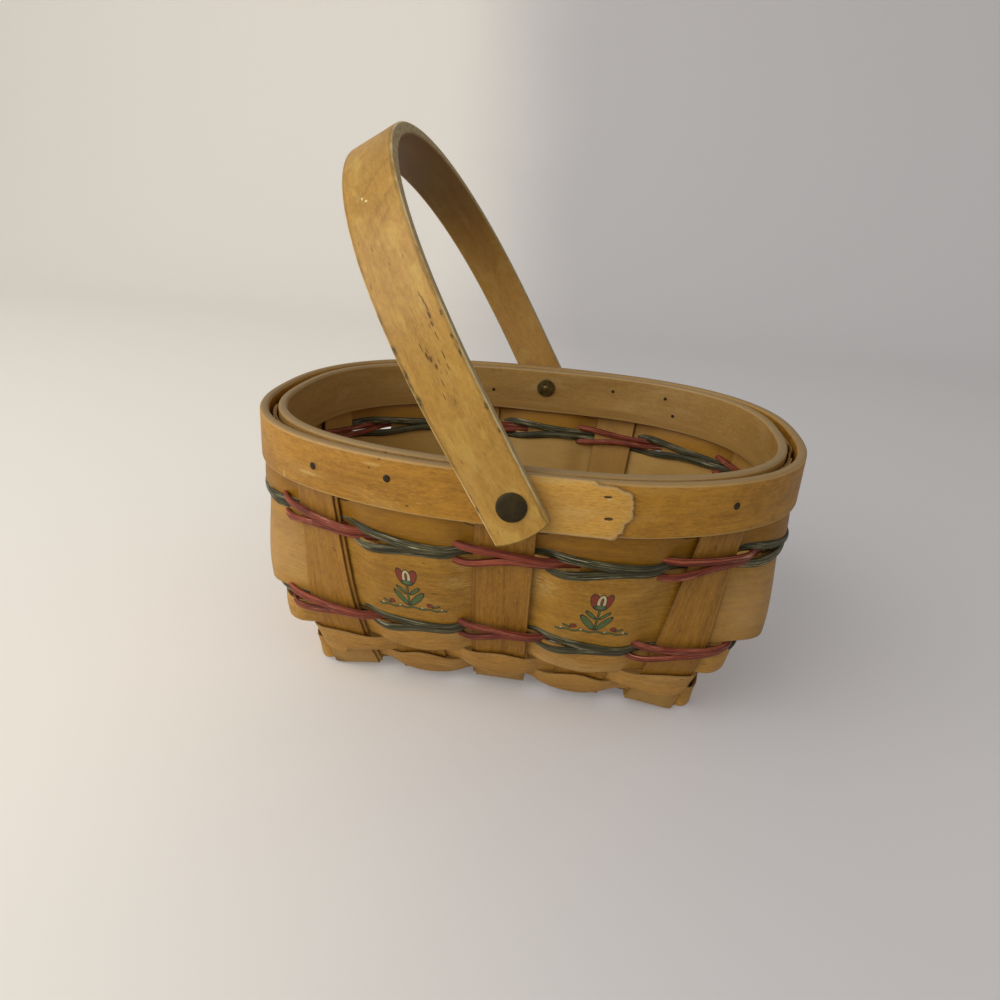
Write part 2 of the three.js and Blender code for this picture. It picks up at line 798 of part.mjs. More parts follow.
// What the rounded foot of each leg is trimmed with
function footTool() {
  const shape = new THREE.Shape();
  const rise = footRadius - Math.sqrt(footRadius ** 2 - (handleWidth / 2) ** 2);
  const wide = handleWidth / 2 + 2;
  const low = handleFoot + 8;
  shape.moveTo(-wide, -low);
  shape.lineTo(wide, -low);
  shape.lineTo(wide, -handleFoot + rise * (wide / (handleWidth / 2)) ** 2);
  const steps = 10;
  for (let i = 0; i <= steps; i += 1) {
    const x = handleWidth / 2 * (1 - 2 * i / steps);
    const y = -handleFoot + footRadius - Math.sqrt(footRadius ** 2 - x ** 2);
    shape.lineTo(x, y);
  }
  shape.lineTo(-wide, -handleFoot + rise * (wide / (handleWidth / 2)) ** 2);
  const tool = new THREE.ExtrudeGeometry(shape, { depth: 3 * handleOuter, bevelEnabled: false });
  tool.translate(0, 0, -1.5 * handleOuter);
  tool.rotateX(Math.PI / 2);
  return facingOut(tool);
}

const burrSeat = rimHalfWidth - 2 * bandThickness - 2 * rimSpace - rivetGap;

// A rivet with its peened tip inside the rim, turned about Y
function rivet() {
  const headBase = handleOuter + rivetGap;
  const tip = burrSeat - burrThickness - rivetGap;
  const r = shankDiameter / 2;
  const head = rivetHeadDiameter / 2;
  const points = [
    new THREE.Vector2(0, tip - peenHeight),
    new THREE.Vector2(peenDiameter * 0.32, tip - peenHeight * 0.8),
    new THREE.Vector2(peenDiameter / 2, tip - peenHeight * 0.2),
    new THREE.Vector2(peenDiameter / 2, tip),
    new THREE.Vector2(r, tip),
    new THREE.Vector2(r, headBase),
    new THREE.Vector2(head, headBase),
    new THREE.Vector2(head, headBase + rivetHeadHeight * 0.35),
    new THREE.Vector2(head * 0.93, headBase + rivetHeadHeight * 0.7),
    new THREE.Vector2(head * 0.7, headBase + rivetHeadHeight * 0.93),
    new THREE.Vector2(0, headBase + rivetHeadHeight),
  ];
  return facingOut(new THREE.LatheGeometry(points, 24));
}

function burr() {
  const hole = shankDiameter / 2 + shankClearance;
  const edge = burrDiameter / 2;
  const points = [
    new THREE.Vector2(hole, burrSeat),
    new THREE.Vector2(edge, burrSeat),
    new THREE.Vector2(edge, burrSeat - burrThickness * 0.6),
    new THREE.Vector2(edge * 0.9, burrSeat - burrThickness),
    new THREE.Vector2(hole, burrSeat - burrThickness),
    new THREE.Vector2(hole, burrSeat),
  ];
  return facingOut(new THREE.LatheGeometry(points, 24));
}

// A tack head on a band: side -1 front, 1 back; face 1 outside, -1 inside
function tack(x, down, side, face) {
  const r = tackDiameter / 2;
  const head = new THREE.LatheGeometry([
    new THREE.Vector2(0, 0),
    new THREE.Vector2(r, 0),
    new THREE.Vector2(r * 0.9, tackHeight * 0.6),
    new THREE.Vector2(0, tackHeight),
  ], 8);
  const angle = side < 0 ? frontAngle(x) : -frontAngle(x);
  const frame = rimFrame(angle);
  const reach = face * (bandFace + (face > 0 ? tackGap : tackGapInside));
  head.rotateZ(Math.atan2(frame.normal.y, frame.normal.x) - Math.PI / 2 + (face < 0 ? Math.PI : 0));
  head.translate(
    frame.point.x + frame.normal.x * reach,
    frame.point.y + frame.normal.y * reach,
    rimHeight - down,
  );
  return facingOut(head);
}

const basket = new THREE.Group();
basket.name = 'basket';

function addMesh(parent, name, geometry, color, roughness, metalness) {
  const mesh = new THREE.Mesh(
    geometry,
    new THREE.MeshStandardMaterial({ color, roughness, metalness }),
  );
  mesh.name = name;
  parent.add(mesh);
  return mesh;
}

const frontMiddle = (stakesAcross + 1) / 2;

for (let i = 1; i <= stakesAcross; i += 1) {
  const plain = acrossStake(i);
  const drilled = i === frontMiddle ? cut(plain, [shankHole(-1), shankHole(1)]) : plain;
  addMesh(basket, `stake_across_${i}`, drilled, amber, 0.55, 0);
}

['front', 'middle', 'back'].forEach((place, j) => {
  addMesh(basket, `stake_along_${place}`, alongStake(j), amber, 0.55, 0);
});

for (let k = 1; k <= stakeCount; k += 2) {
  const plain = liner(k);
  const middle = k === frontMiddle || k === frontMiddle + stakeCount / 2;
  const drilled = middle ? cut(plain, [shankHole(-1), shankHole(1)]) : plain;
  addMesh(basket, `liner_${k}`, drilled, amber, 0.6, 0);
}

const even = 0;
const odd = 1;
[
  ['weaver_row_1', weaver(row.one, even, rowOneSwell, 2)],
  ['weaver_row_2', weaver(row.two, odd, rowTwoSwell, 2)],
  ['weaver_row_3', weaver(row.three, even, rowThreeSwell, 1)],
  ['weaver_wide', weaver(row.wide, even, wideSwell, 2)],
  ['weaver_row_4', weaver(row.four, even, rowFourSwell, 1)],
].forEach(([name, geometry]) => {
  addMesh(basket, name, geometry, honey, 0.5, 0);
});
addMesh(basket, 'weaver_row_5', cut(bandWeaver(), [shankHole(-1), shankHole(1)]), amber, 0.6, 0);

[['lower', row.lowerTwine], ['upper', row.upperTwine]].forEach(([place, centre]) => {
  [['red', odd, brickRed], ['green', even, mossGreen]].forEach(([name, parity, color]) => {
    addMesh(basket, `reed_${place}_${name}_high`, reed(centre, parity, 1), color, 0.6, 0);
    addMesh(basket, `reed_${place}_${name}_low`, reed(centre, parity, -1), color, 0.6, 0);
  });
});

addMesh(basket, 'band_inner', innerBand(), honey, 0.5, 0);
addMesh(basket, 'band_outer', outerBand(), honey, 0.5, 0);

// The line through both rivets, turned a little about the vertical
const pivot = new THREE.Group();
pivot.position.set(pivotSide, 0, pivotHeight);
pivot.rotation.z = THREE.MathUtils.degToRad(pivotTurn);
basket.add(pivot);

const swing = new THREE.Group();
swing.rotation.y = -THREE.MathUtils.degToRad(handleTilt);
pivot.add(swing);
addMesh(swing, 'handle', handle(), paleWood, 0.4, 0);

[['front', Math.PI], ['back', 0]].forEach(([place, turn]) => {
  const pin = addMesh(pivot, `rivet_${place}`, rivet(), darkBrass, 0.35, 0.8);
  const washer = addMesh(pivot, `burr_${place}`, burr(), dullBrass, 0.4, 0.8);
  pin.rotation.x = turn;
  washer.rotation.x = turn;
});

const tacks = [
  ['outer_1', -83.8, 12.5, -1, 1],
  ['outer_2', -48.4, 10, -1, 1],
  ['outer_3', 94.6, 11.4, -1, 1],
  ['outer_4', 84, 11, 1, 1],
  ['outer_5', 42, 10, 1, 1],
  ['outer_6', -90, 10, 1, 1],
  ['inner_1', -35.7, 16.3, 1, -1],
  ['inner_2', 45.6, 9.7, 1, -1],
  ['inner_3', 80.6, 9, 1, -1],
  ['inner_4', 87, 19.1, 1, -1],
  ['inner_5', -60, 11, -1, -1],
  ['inner_6', 52, 12, -1, -1],
];
tacks.forEach(([name, x, down, side, face]) => {
  addMesh(basket, `tack_${name}`, tack(x, down, side, face), darkSteel, 0.4, 0.7);
});

export default basket;
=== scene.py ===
import math

import bmesh
import bpy
import numpy as np
from mathutils import Matrix, Vector
from mathutils.geometry import delaunay_2d_cdt


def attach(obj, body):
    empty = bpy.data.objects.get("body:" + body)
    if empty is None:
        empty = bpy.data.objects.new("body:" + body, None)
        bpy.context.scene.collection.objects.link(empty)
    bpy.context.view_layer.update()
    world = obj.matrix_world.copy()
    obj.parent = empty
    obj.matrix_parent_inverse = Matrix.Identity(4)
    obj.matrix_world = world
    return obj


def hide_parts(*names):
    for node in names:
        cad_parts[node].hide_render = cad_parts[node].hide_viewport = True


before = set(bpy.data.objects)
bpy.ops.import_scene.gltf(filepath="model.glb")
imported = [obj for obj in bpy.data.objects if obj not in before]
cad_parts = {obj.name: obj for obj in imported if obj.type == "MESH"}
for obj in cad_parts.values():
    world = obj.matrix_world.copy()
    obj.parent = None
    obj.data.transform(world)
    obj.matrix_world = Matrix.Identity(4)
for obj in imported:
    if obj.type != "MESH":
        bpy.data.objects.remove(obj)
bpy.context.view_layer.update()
print("frame loaded:", len(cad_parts), "nodes")

mm = 0.001  # the pieces are set out in millimetres, Blender works in metres


def addObject(name, data):
    made = bpy.data.objects.new(name, data)
    bpy.context.scene.collection.objects.link(made)
    return made


# Camera first, at the angle of the photograph, in metres and radians
view = {
    "place": (0.03404, -0.39415, 0.24273), "yaw": 0.1207, "pitch": -0.3807, "roll": 0.0699,
    "lens": 26.81, "sensor": 36, "nearest": 0.01,
}


def makeCamera():
    yaw, pitch, roll = view["yaw"], view["pitch"], view["roll"]
    ahead = Vector((-math.sin(yaw) * math.cos(pitch), math.cos(yaw) * math.cos(pitch), math.sin(pitch)))
    right = Vector((math.cos(yaw), math.sin(yaw), 0))
    up = right.cross(ahead)
    rolledRight = math.cos(roll) * right + math.sin(roll) * up
    rolledUp = -math.sin(roll) * right + math.cos(roll) * up
    data = bpy.data.cameras.new("camera")
    data.lens = view["lens"]
    data.sensor_width = view["sensor"]
    data.clip_start = view["nearest"]
    camera = addObject("camera", data)
    turn = Matrix((rolledRight, rolledUp, -ahead)).transposed()
    camera.matrix_world = Matrix.Translation(view["place"]) @ turn.to_4x4()
    bpy.context.scene.camera = camera


makeCamera()
print("camera set")


# Shader maths: a wire is a socket that can be added, multiplied and so on
class Wire:
    def __init__(self, tree, socket=None):
        self.tree = tree
        self.socket = socket

    def node(self, kind, settings=None, inputs=None, out=0):
        made = self.tree.nodes.new(kind)
        for key, value in (settings or {}).items():
            if key == "stops":
                ramp = made.color_ramp.elements
                while len(ramp) > 1:
                    ramp.remove(ramp[0])
                for i, (place, color) in enumerate(value):
                    stop = ramp[0] if i == 0 else ramp.new(place)
                    stop.position = place
                    stop.color = (*color, 1)
            else:
                setattr(made, key, value)
        for key, value in (inputs or {}).items():
            if isinstance(value, Wire):
                self.tree.links.new(value.socket, made.inputs[key])
            else:
                made.inputs[key].default_value = value
        return Wire(self.tree, made.outputs[out] if made.outputs else None)

    def math(self, operation, *values):
        return self.node("ShaderNodeMath", {"operation": operation}, dict(enumerate(values)))

    def __add__(self, other):
        return self.math("ADD", self, other)

    def __radd__(self, other):
        return self.math("ADD", other, self)

    def __sub__(self, other):
        return self.math("SUBTRACT", self, other)

    def __rsub__(self, other):
        return self.math("SUBTRACT", other, self)

    def __mul__(self, other):
        return self.math("MULTIPLY", self, other)

    def __rmul__(self, other):
        return self.math("MULTIPLY", other, self)

    def __pow__(self, other):
        return self.math("POWER", self, other)

    def __abs__(self):
        return self.math("ABSOLUTE", self)

    def least(self, other):
        return self.math("MINIMUM", self, other)

    def most(self, other):
        return self.math("MAXIMUM", self, other)

    def sine(self):
        return self.math("SINE", self)

    # 0 up to low, 1 from high, and smooth between them
    def between(self, low, high):
        inputs = {"Value": self, "From Min": low, "From Max": high}
        return self.node("ShaderNodeMapRange", {"interpolation_type": "SMOOTHSTEP"}, inputs)

    def attribute(self, name):
        return self.node("ShaderNodeAttribute", {"attribute_name": name}, out=2)

    def xy(self):
        return [self.node("ShaderNodeSeparateXYZ", None, {0: self}, axis) for axis in (0, 1)]

    # Place in one of a mesh's maps, in metres along and across the strip
    def grain(self, name="grain"):
        return self.node("ShaderNodeUVMap", {"uv_map": name}).xy()

    def objectPlace(self):
        return self.node("ShaderNodeTexCoord", None, None, 3)

    def vector(self, x, y, z=0.0):
        return self.node("ShaderNodeCombineXYZ", None, {0: x, 1: y, 2: z})

    def noise(self, place, scale, detail, rough, warp=0.0):
        inputs = {"Vector": place, "Scale": scale, "Detail": detail, "Roughness": rough, "Distortion": warp}
        return self.node("ShaderNodeTexNoise", None, inputs)

    def blend(self, factor, first, second):
        first, second = (tone if isinstance(tone, Wire) else (*tone, 1) for tone in (first, second))
        return self.node("ShaderNodeMix", {"data_type": "RGBA"}, {0: factor, 6: first, 7: second}, 2)

    # This colour with a paint over it where the mask is
    def coat(self, mask, paint):
        return self.blend(mask, self, paint)


def rgb(r, g, b):
    def linear(value):
        value /= 255
        return value / 12.92 if value <= 0.04045 else ((value + 0.055) / 1.055) ** 2.4
    return linear(r), linear(g), linear(b)


def newMaterial(name):
    material = bpy.data.materials.new(name)
    material.use_nodes = True
    material.node_tree.nodes.clear()
    return material, Wire(material.node_tree)


# Relief is the strength and the depth of the bumps, fixed holds the sockets that are alike all over
def finishMaterial(wire, color, roughness, height, relief, fixed):
    bump = wire.node("ShaderNodeBump", None, {"Strength": relief[0], "Distance": relief[1], "Height": height})
    shader = wire.node("ShaderNodeBsdfPrincipled", None,
                       {"Base Color": color, "Roughness": roughness, "Normal": bump, **fixed})
    wire.node("ShaderNodeOutputMaterial", None, {"Surface": shader})


# Noise drawn out along a strip: how fine it is each way, then seed, detail, roughness and warp
def strandNoise(wire, along, across, seed, fineAlong, fineAcross, shift, detail, rough, warp=0.0):
    place = wire.vector(along * fineAlong, across * fineAcross, seed + shift)
    return wire.noise(place, 1.0, detail, rough, warp)


# The bent strip of the handle, in millimetres
grip = {
    "width": 25.4, "thickness": 6.0, "round": 1.1, "tilt": 31.3, "gap": 1.3, "reach": 164.6,
    "spread": (0.0, 0.3, 0.756, 0.968, 1.0), "sway": 8.0, "ease": 20.0, "foot": 15.2, "footRadius": 33.5,
    "pivot": (2.5, 0.0, 128.9), "turn": 1.4, "stations": 220, "crook": -1.6,
}


# Woods: tones run from deep to pale round the middle one, as far as reach; the other numbers are
# the shares of each noise and mark below
woods = {
    "upright": {
        "mid": rgb(155, 107, 34), "reach": 0.28, "patch": 1.2, "streak": 1.4, "fine": 0.9,
        "bloom": rgb(196, 156, 86), "mottle": 1.1, "grit": 1.0, "fleck": 0.35, "pores": 0.35, "haze": 0.12,
        "edgeShade": 0.55, "edgeWorn": 0.1, "rough": 0.5, "inside": 0.4,
    },
    "weaver": {
        "mid": rgb(166, 119, 37), "reach": 0.26, "patch": 1.5, "streak": 1.2, "fine": 0.6,
        "bloom": rgb(206, 168, 98), "mottle": 1.3, "grit": 1.0, "fleck": 0.5, "pores": 0.3, "haze": 0.26,
        "edgeShade": 0.5, "edgeWorn": 0.1, "rough": 0.48, "inside": 0.6,
    },
    # A paler copy of the weaver wood for the three low rows: painted light, where these rows catch light
    "low": {
        "mid": rgb(182, 133, 56), "reach": 0.24, "patch": 1.4, "streak": 1.1, "fine": 0.6,
        "bloom": rgb(222, 188, 130), "mottle": 1.2, "grit": 1.0, "fleck": 0.5, "pores": 0.3, "haze": 0.24,
        "edgeShade": 0.5, "edgeWorn": 0.15, "rough": 0.5, "inside": 0.3,
    },
    # A darker copy of the weaver wood for the row under the rim band: painted shade
    "amber": {
        "mid": rgb(148, 101, 16), "reach": 0.26, "patch": 1.4, "streak": 0.9, "fine": 0.6,
        "bloom": rgb(190, 142, 60), "mottle": 0.9, "grit": 0.7, "fleck": 0.3, "pores": 0.25, "haze": 0.15,
        "edgeShade": 0.5, "edgeWorn": 0.0, "rough": 0.42, "inside": 0.35,
    },
    "band": {
        "mid": rgb(170, 119, 34), "reach": 0.24, "patch": 1.7, "streak": 0.9, "fine": 0.6,
        "bloom": rgb(208, 170, 100), "mottle": 1.8, "grit": 1.1, "fleck": 0.6, "pores": 0.3, "haze": 0.2,
        "edgeShade": 0.15, "edgeWorn": 0.35, "rough": 0.46,
    },
    "inner": {
        "mid": rgb(166, 127, 66), "reach": 0.2, "patch": 1.2, "streak": 0.7, "fine": 0.6,
        "bloom": rgb(204, 174, 118), "mottle": 1.0, "grit": 1.1, "fleck": 0.5, "pores": 0.3, "haze": 0.25,
        "edgeShade": 0.15, "edgeWorn": 0.35, "rough": 0.5,
    },
    "raw": {
        "mid": rgb(206, 154, 68), "reach": 0.16, "patch": 0.9, "streak": 0.5, "fine": 0.9,
        "bloom": rgb(222, 188, 126), "mottle": 0.9, "grit": 1.6, "fleck": 0.6, "pores": 0.5, "haze": 0.3,
        "edgeShade": 0.0, "edgeWorn": 0.5, "rough": 0.62,
    },
    "handle": {
        "mid": rgb(184, 138, 60), "reach": 0.18, "patch": 2.0, "streak": 0.5, "fine": 0.7,
        "bloom": rgb(208, 172, 112), "mottle": 1.6, "grit": 1.1, "fleck": 0.45, "pores": 0.35, "haze": 0.2,
        "edgeShade": 0.0, "edgeWorn": 0.0, "rough": 0.42,
    },
}
# The edge ink is painted shade along strip edges; pore, speck and grime are the wood's own marks
ink = {"pore": rgb(92, 58, 20), "speck": rgb(62, 38, 16), "edge": rgb(78, 48, 14), "grime": rgb(60, 40, 20)}


# Rows for strandNoise
woodNoise = {
    "patch": (11, 55, 0, 3, 0.55, 0.5),
    "streak": (16, 620, 7, 4, 0.6, 0.15),
    "fine": (70, 2400, 3, 2, 0.6),
    "mottle": (130, 330, 31, 3, 0.7, 0.3),
    "grit": (420, 1500, 37, 2, 0.6),
    "pores": (260, 2600, 13, 1, 0.5),
    "fleck": (330, 1300, 17, 2, 0.5),
    "flecked": (26, 60, 29, 3, 0.6),
    "haze": (22, 60, 11, 4, 0.65, 0.4),
    "speck": (210, 1100, 19, 0, 0.5),
    "ragged": (240, 700, 23, 3, 0.6),
}


def makeWood(name, look, extra=None):
    material, wire = newMaterial(name)
    along, across = wire.grain()
    seed, margin = wire.attribute("seed"), wire.attribute("margin")
    noise = {key: strandNoise(wire, along, across, seed, *field) for key, field in woodNoise.items()}
    tone = 0.5
    for key in ("patch", "streak", "fine", "mottle", "grit"):
        tone = tone + (noise[key] - 0.5) * look[key]
    mid, reach = look["mid"], look["reach"]
    deep = tuple(c * (1 - reach * k) for c, k in zip(mid, (0.9, 1.1, 1.3)))
    pale = tuple(c * (1 + reach * k) for c, k in zip(mid, (0.9, 1.0, 1.3)))
    color = wire.node("ShaderNodeValToRGB", {"stops": [(0.1, deep), (0.5, mid), (0.9, pale)]}, {"Fac": tone})
    pores = noise["pores"].between(0.62, 0.76)
    fleck = noise["fleck"].between(0.6, 0.76) * noise["flecked"].between(0.42, 0.6)
    haze = noise["haze"].between(0.5, 0.72)
    color = color.coat(pores * look["pores"], ink["pore"])
    color = color.coat(fleck * look["fleck"], look["bloom"])
    color = color.coat(haze * look["haze"], look["bloom"])
    color = color.coat(noise["speck"].between(0.8, 0.86) * 0.55, ink["speck"])
    if "inside" in look:  # the inner face of a strip lies further across its map
        color = color.coat(across.between(0.045, 0.06) * look["inside"], look["bloom"])
    ragged = noise["ragged"]
    # Painted shade: a thin dark line along the edges, where shadow falls between strips
    edgeShadeMask = 1.0 - (margin + (ragged - 0.5) * 0.7).between(0.0, 0.55)
    color = color.coat(edgeShadeMask * look["edgeShade"], ink["edge"])
    wornEdge = 1.0 - (margin + (ragged - 0.5) * 1.6).between(0.1, 1.1)
    color = color.coat(wornEdge * look["edgeWorn"], look["bloom"])
    roughness = look["rough"] + (noise["streak"] - 0.5) * 0.14 + haze * 0.15
    if extra:
        color, roughness = extra(wire, color, roughness, along, across, margin, ragged)
    height = noise["fine"] * 0.5 + noise["streak"] * 0.6 - pores * 0.6
    finishMaterial(wire, color, roughness, height, (0.25, 0.0002), {"Specular IOR Level": 0.34})
    return material


# A rough-edged dab: its centre on the object and its radii, in millimetres
def dab(wire, place, ragged, centre, radii, soft):
    scale = [1 / mm / r for r in radii]
    offset = [-c / r for c, r in zip(centre, radii)]
    near = wire.node("ShaderNodeVectorMath", {"operation": "MULTIPLY_ADD"}, {0: place, 1: scale, 2: offset})
    far = wire.node("ShaderNodeVectorMath", {"operation": "LENGTH"}, {0: near}, 1)
    return 1.0 - (far + (ragged - 0.5) * 1.1).between(0.9 - soft, 0.9 + soft)


def allDabs(wire, place, ragged, spots, soft):
    total, *others = [dab(wire, place, ragged, centre, radii, soft) for centre, radii in spots]
    for other in others:
        total = total.most(other)
    return total


# The printed sprig on the wide weaver, drawn in millimetres from the panel's middle
sprig = {
    "line": 0.26, "base": 10.0, "size": 1.2, "pitch": 42.5, "panels": (2, 4, 10, 12),
    "outline": rgb(48, 38, 22), "leaf": rgb(72, 100, 58), "petal": rgb(128, 50, 40), "cream": rgb(206, 190, 146),
    "worn": rgb(196, 156, 108), "stem": (0.35, 6.5, 6.0), "ground": (0.5, 0.45, 13.5), "wave": (1.15, 0.3),
    # Ovals in painting order: paint, middle, radii, turn, and whether both sides have one
    "ovals": [
        ("leaf", (3.0, 4.6), (1.3, 4.4), -0.6, True), ("leaf", (2.5, 8.6), (0.8, 2.5), -0.75, True),
        ("petal", (1.9, 15.2), (1.7, 3.9), -0.3, True), ("cream", (0.0, 15.0), (1.6, 3.7), 0.0, False),
        ("leaf", (0.0, 12.6), (2.2, 1.1), 0.0, False), ("petal", (0.0, 15.4), (0.45, 1.5), 0.0, False),
        ("petal", (7.4, 2.0), (1.15, 1.15), 0.0, True), ("leaf", (9.6, 1.5), (0.5, 1.5), -1.1, True),
    ],
    "dots": [("cream", (4.4, 0.2), (0.6, 0.6), 0.0, True), ("cream", (11.6, 0.3), (0.6, 0.6), 0.0, True)],
}
printNoise = {"flaw": (300, 900, 5, 3, 0.6), "blotch": (60.0, 2.0, 0.5)}

# Marks that the photograph shows: their dabs, how soft the edges are, how strongly they cover, and
# the paint
weaverMarks = {
    # Painted sheen: a whitish haze along the wide weaver's top edge, where light glances off it
    "haze": {
        "dabs": [((-16, -102, 90), (5.0, 60, 2.6)), ((-20, -98, 80), (6, 60, 4)), ((19, -100, 85), (9, 60, 8))],
        "soft": 0.6, "cover": 0.6, "paint": woods["weaver"]["bloom"],
    },
    "ends": {
        "dabs": [((-116, -60, 72), (20, 36, 19)), ((118, -60, 70), (20, 36, 20))],
        "soft": 0.9, "cover": 0.4, "paint": sprig["worn"],
    },
    "scratch": {
        "dabs": [((-29.9, -96, 72.4), (1.3, 60, 0.35)), ((-27.9, -96, 72.9), (0.5, 60, 0.3))],
        "soft": 0.35, "cover": 0.8, "paint": ink["speck"],
    },
}
uprightMarks = {
    # Painted light: paler feet on the front uprights, where the low parts catch light
    "pale": {
        "dabs": [((79, -60, 5), (20, 40, 15)), ((-79, -60, 6), (18, 40, 12)), ((0, -60, 8), (16, 40, 11))],
        "soft": 0.5, "cover": 0.55, "paint": woods["upright"]["bloom"],
    },
    "scratch": {
        "dabs": [((-80.9, -89, 85.3), (0.4, 60, 0.7)), ((-80.0, -89, 84.2), (0.6, 60, 0.5))],
        "soft": 0.35, "cover": 0.8, "paint": ink["speck"],
    },
    "grime": {"dabs": [((-92, -62, 3), (7, 40, 3.5))], "soft": 0.6, "cover": 0.45, "paint": ink["grime"]},
}
bandMarks = {
    "pale": {
        "dabs": [
            ((-56.5, -107, 136.3), (4.5, 60, 0.7)), ((-105.5, -85, 117), (0.9, 60, 4)),
            ((-90, -93, 124.5), (6, 60, 1.0)), ((20, -112, 139), (9, 60, 0.7)),
        ],
        "soft": 0.5, "paint": woods["band"]["bloom"],
    },
    "speck": {
        "dabs": [
            ((-57.9, -107, 134.4), (0.6, 60, 0.5)), ((-53, -107, 139.2), (0.7, 60, 0.5)),
            ((-40.1, -109, 120.2), (0.9, 60, 0.6)),
        ],
        "soft": 0.35, "cover": 0.75, "paint": ink["speck"],
    },
    # Painted shade: the nail slits darkened as deep holes
    "slit": {
        "dabs": [((43.3, -108, 134.6), (1.8, 60, 0.65)), ((44.7, -108, 125.1), (2.1, 60, 0.85))],
        "soft": 0.15, "cover": 0.9, "paint": rgb(56, 26, 8),
    },
    "torn": {
        "dabs": [((43.9, -108, 133.8), (1.1, 60, 0.3)), ((44.2, -108, 124.2), (0.7, 60, 0.2))],
        "soft": 0.2, "cover": 0.8, "paint": rgb(232, 204, 160),
    },
}


def coatMark(wire, color, place, ragged, mark, cover=None):
    mask = allDabs(wire, place, ragged, mark["dabs"], mark["soft"])
    return color.coat(mask * (mark["cover"] if cover is None else cover), mark["paint"])


def printSprig(wire, color, roughness, along, across, margin, ragged):
    place = wire.objectPlace()
    haze, ends, scratch = weaverMarks.values()
    flaw = strandNoise(wire, along, across, 0, *printNoise["flaw"])
    # The haze mark is painted sheen
    color = coatMark(wire, color, place, ragged, haze, flaw.between(0.35, 0.65) * haze["cover"])
    color = coatMark(wire, color, place, wire.noise(place, *printNoise["blotch"]), ends)
    color = coatMark(wire, color, place, ragged, scratch)
    x, y = wire.grain("print")
    x = x * (1 / mm / sprig["size"])
    y = (y * (1 / mm) - sprig["base"]) * (1 / sprig["size"])

    def oval(middle, radii, turn, mirror):
        px = (abs(x) if mirror else x) - middle[0]
        py = y - middle[1]
        c, s = math.cos(turn), math.sin(turn)
        u = (px * c + py * s) * (1 / radii[0])
        v = (py * c - px * s) * (1 / radii[1])
        return ((u * u + v * v) ** 0.5 - 1.0) * min(radii)

    def paint(color, field, fill):
        inside = 1.0 - field.between(-0.06, 0.06)
        line = 1.0 - (abs(field) - sprig["line"] / 2).between(-0.05, 0.05)
        return color.coat(inside * 0.92, sprig[fill]).coat(line * 0.9, sprig["outline"])

    halfWidth, middle, halfLength = sprig["stem"]
    color = paint(color, (abs(x) - halfWidth).most(abs(y - middle) - halfLength), "leaf")
    for fill, *shape in sprig["ovals"]:
        color = paint(color, oval(*shape), fill)
    often, tall = sprig["wave"]
    drop, halfHeight, halfSpan = sprig["ground"]
    wave = (x * often).sine() * tall
    color = paint(color, (abs(y + drop - wave) - halfHeight).most(abs(x) - halfSpan), "leaf")
    for fill, *shape in sprig["dots"]:
        color = paint(color, oval(*shape), fill)
    return color, roughness


def markUprights(wire, color, roughness, along, across, margin, ragged):
    place = wire.objectPlace()
    for mark in uprightMarks.values():
        color = coatMark(wire, color, place, ragged, mark)
    return color, roughness


bandWear = {"top": rgb(150, 126, 90), "corner": rgb(194, 162, 108), "fibre": (30, 2600, 83, 3, 0.6)}


def markBands(wire, color, roughness, along, across, margin, ragged):
    place = wire.objectPlace()
    color = coatMark(wire, color, place, ragged, bandMarks["pale"], 0.3 + 0.5 * ragged)
    color = coatMark(wire, color, place, ragged, bandMarks["speck"])
    corner = 1.0 - abs(margin - 1.1 + (ragged - 0.5) * 0.9).between(0.1, 0.6)
    topFace = 1.0 - (margin + (ragged - 0.5) * 0.25).between(0.3, 0.9)
    fibre = strandNoise(wire, along, across, 0, *bandWear["fibre"])
    color = color.coat(topFace * (0.2 + 1.1 * fibre).least(1.0), bandWear["top"])
    color = color.coat(corner * 0.55, bandWear["corner"])
    # The slit mark is painted shade in the nail holes
    color = coatMark(wire, color, place, ragged, bandMarks["slit"])
    color = coatMark(wire, color, place, ragged, bandMarks["torn"])
    return color, roughness + topFace * 0.2
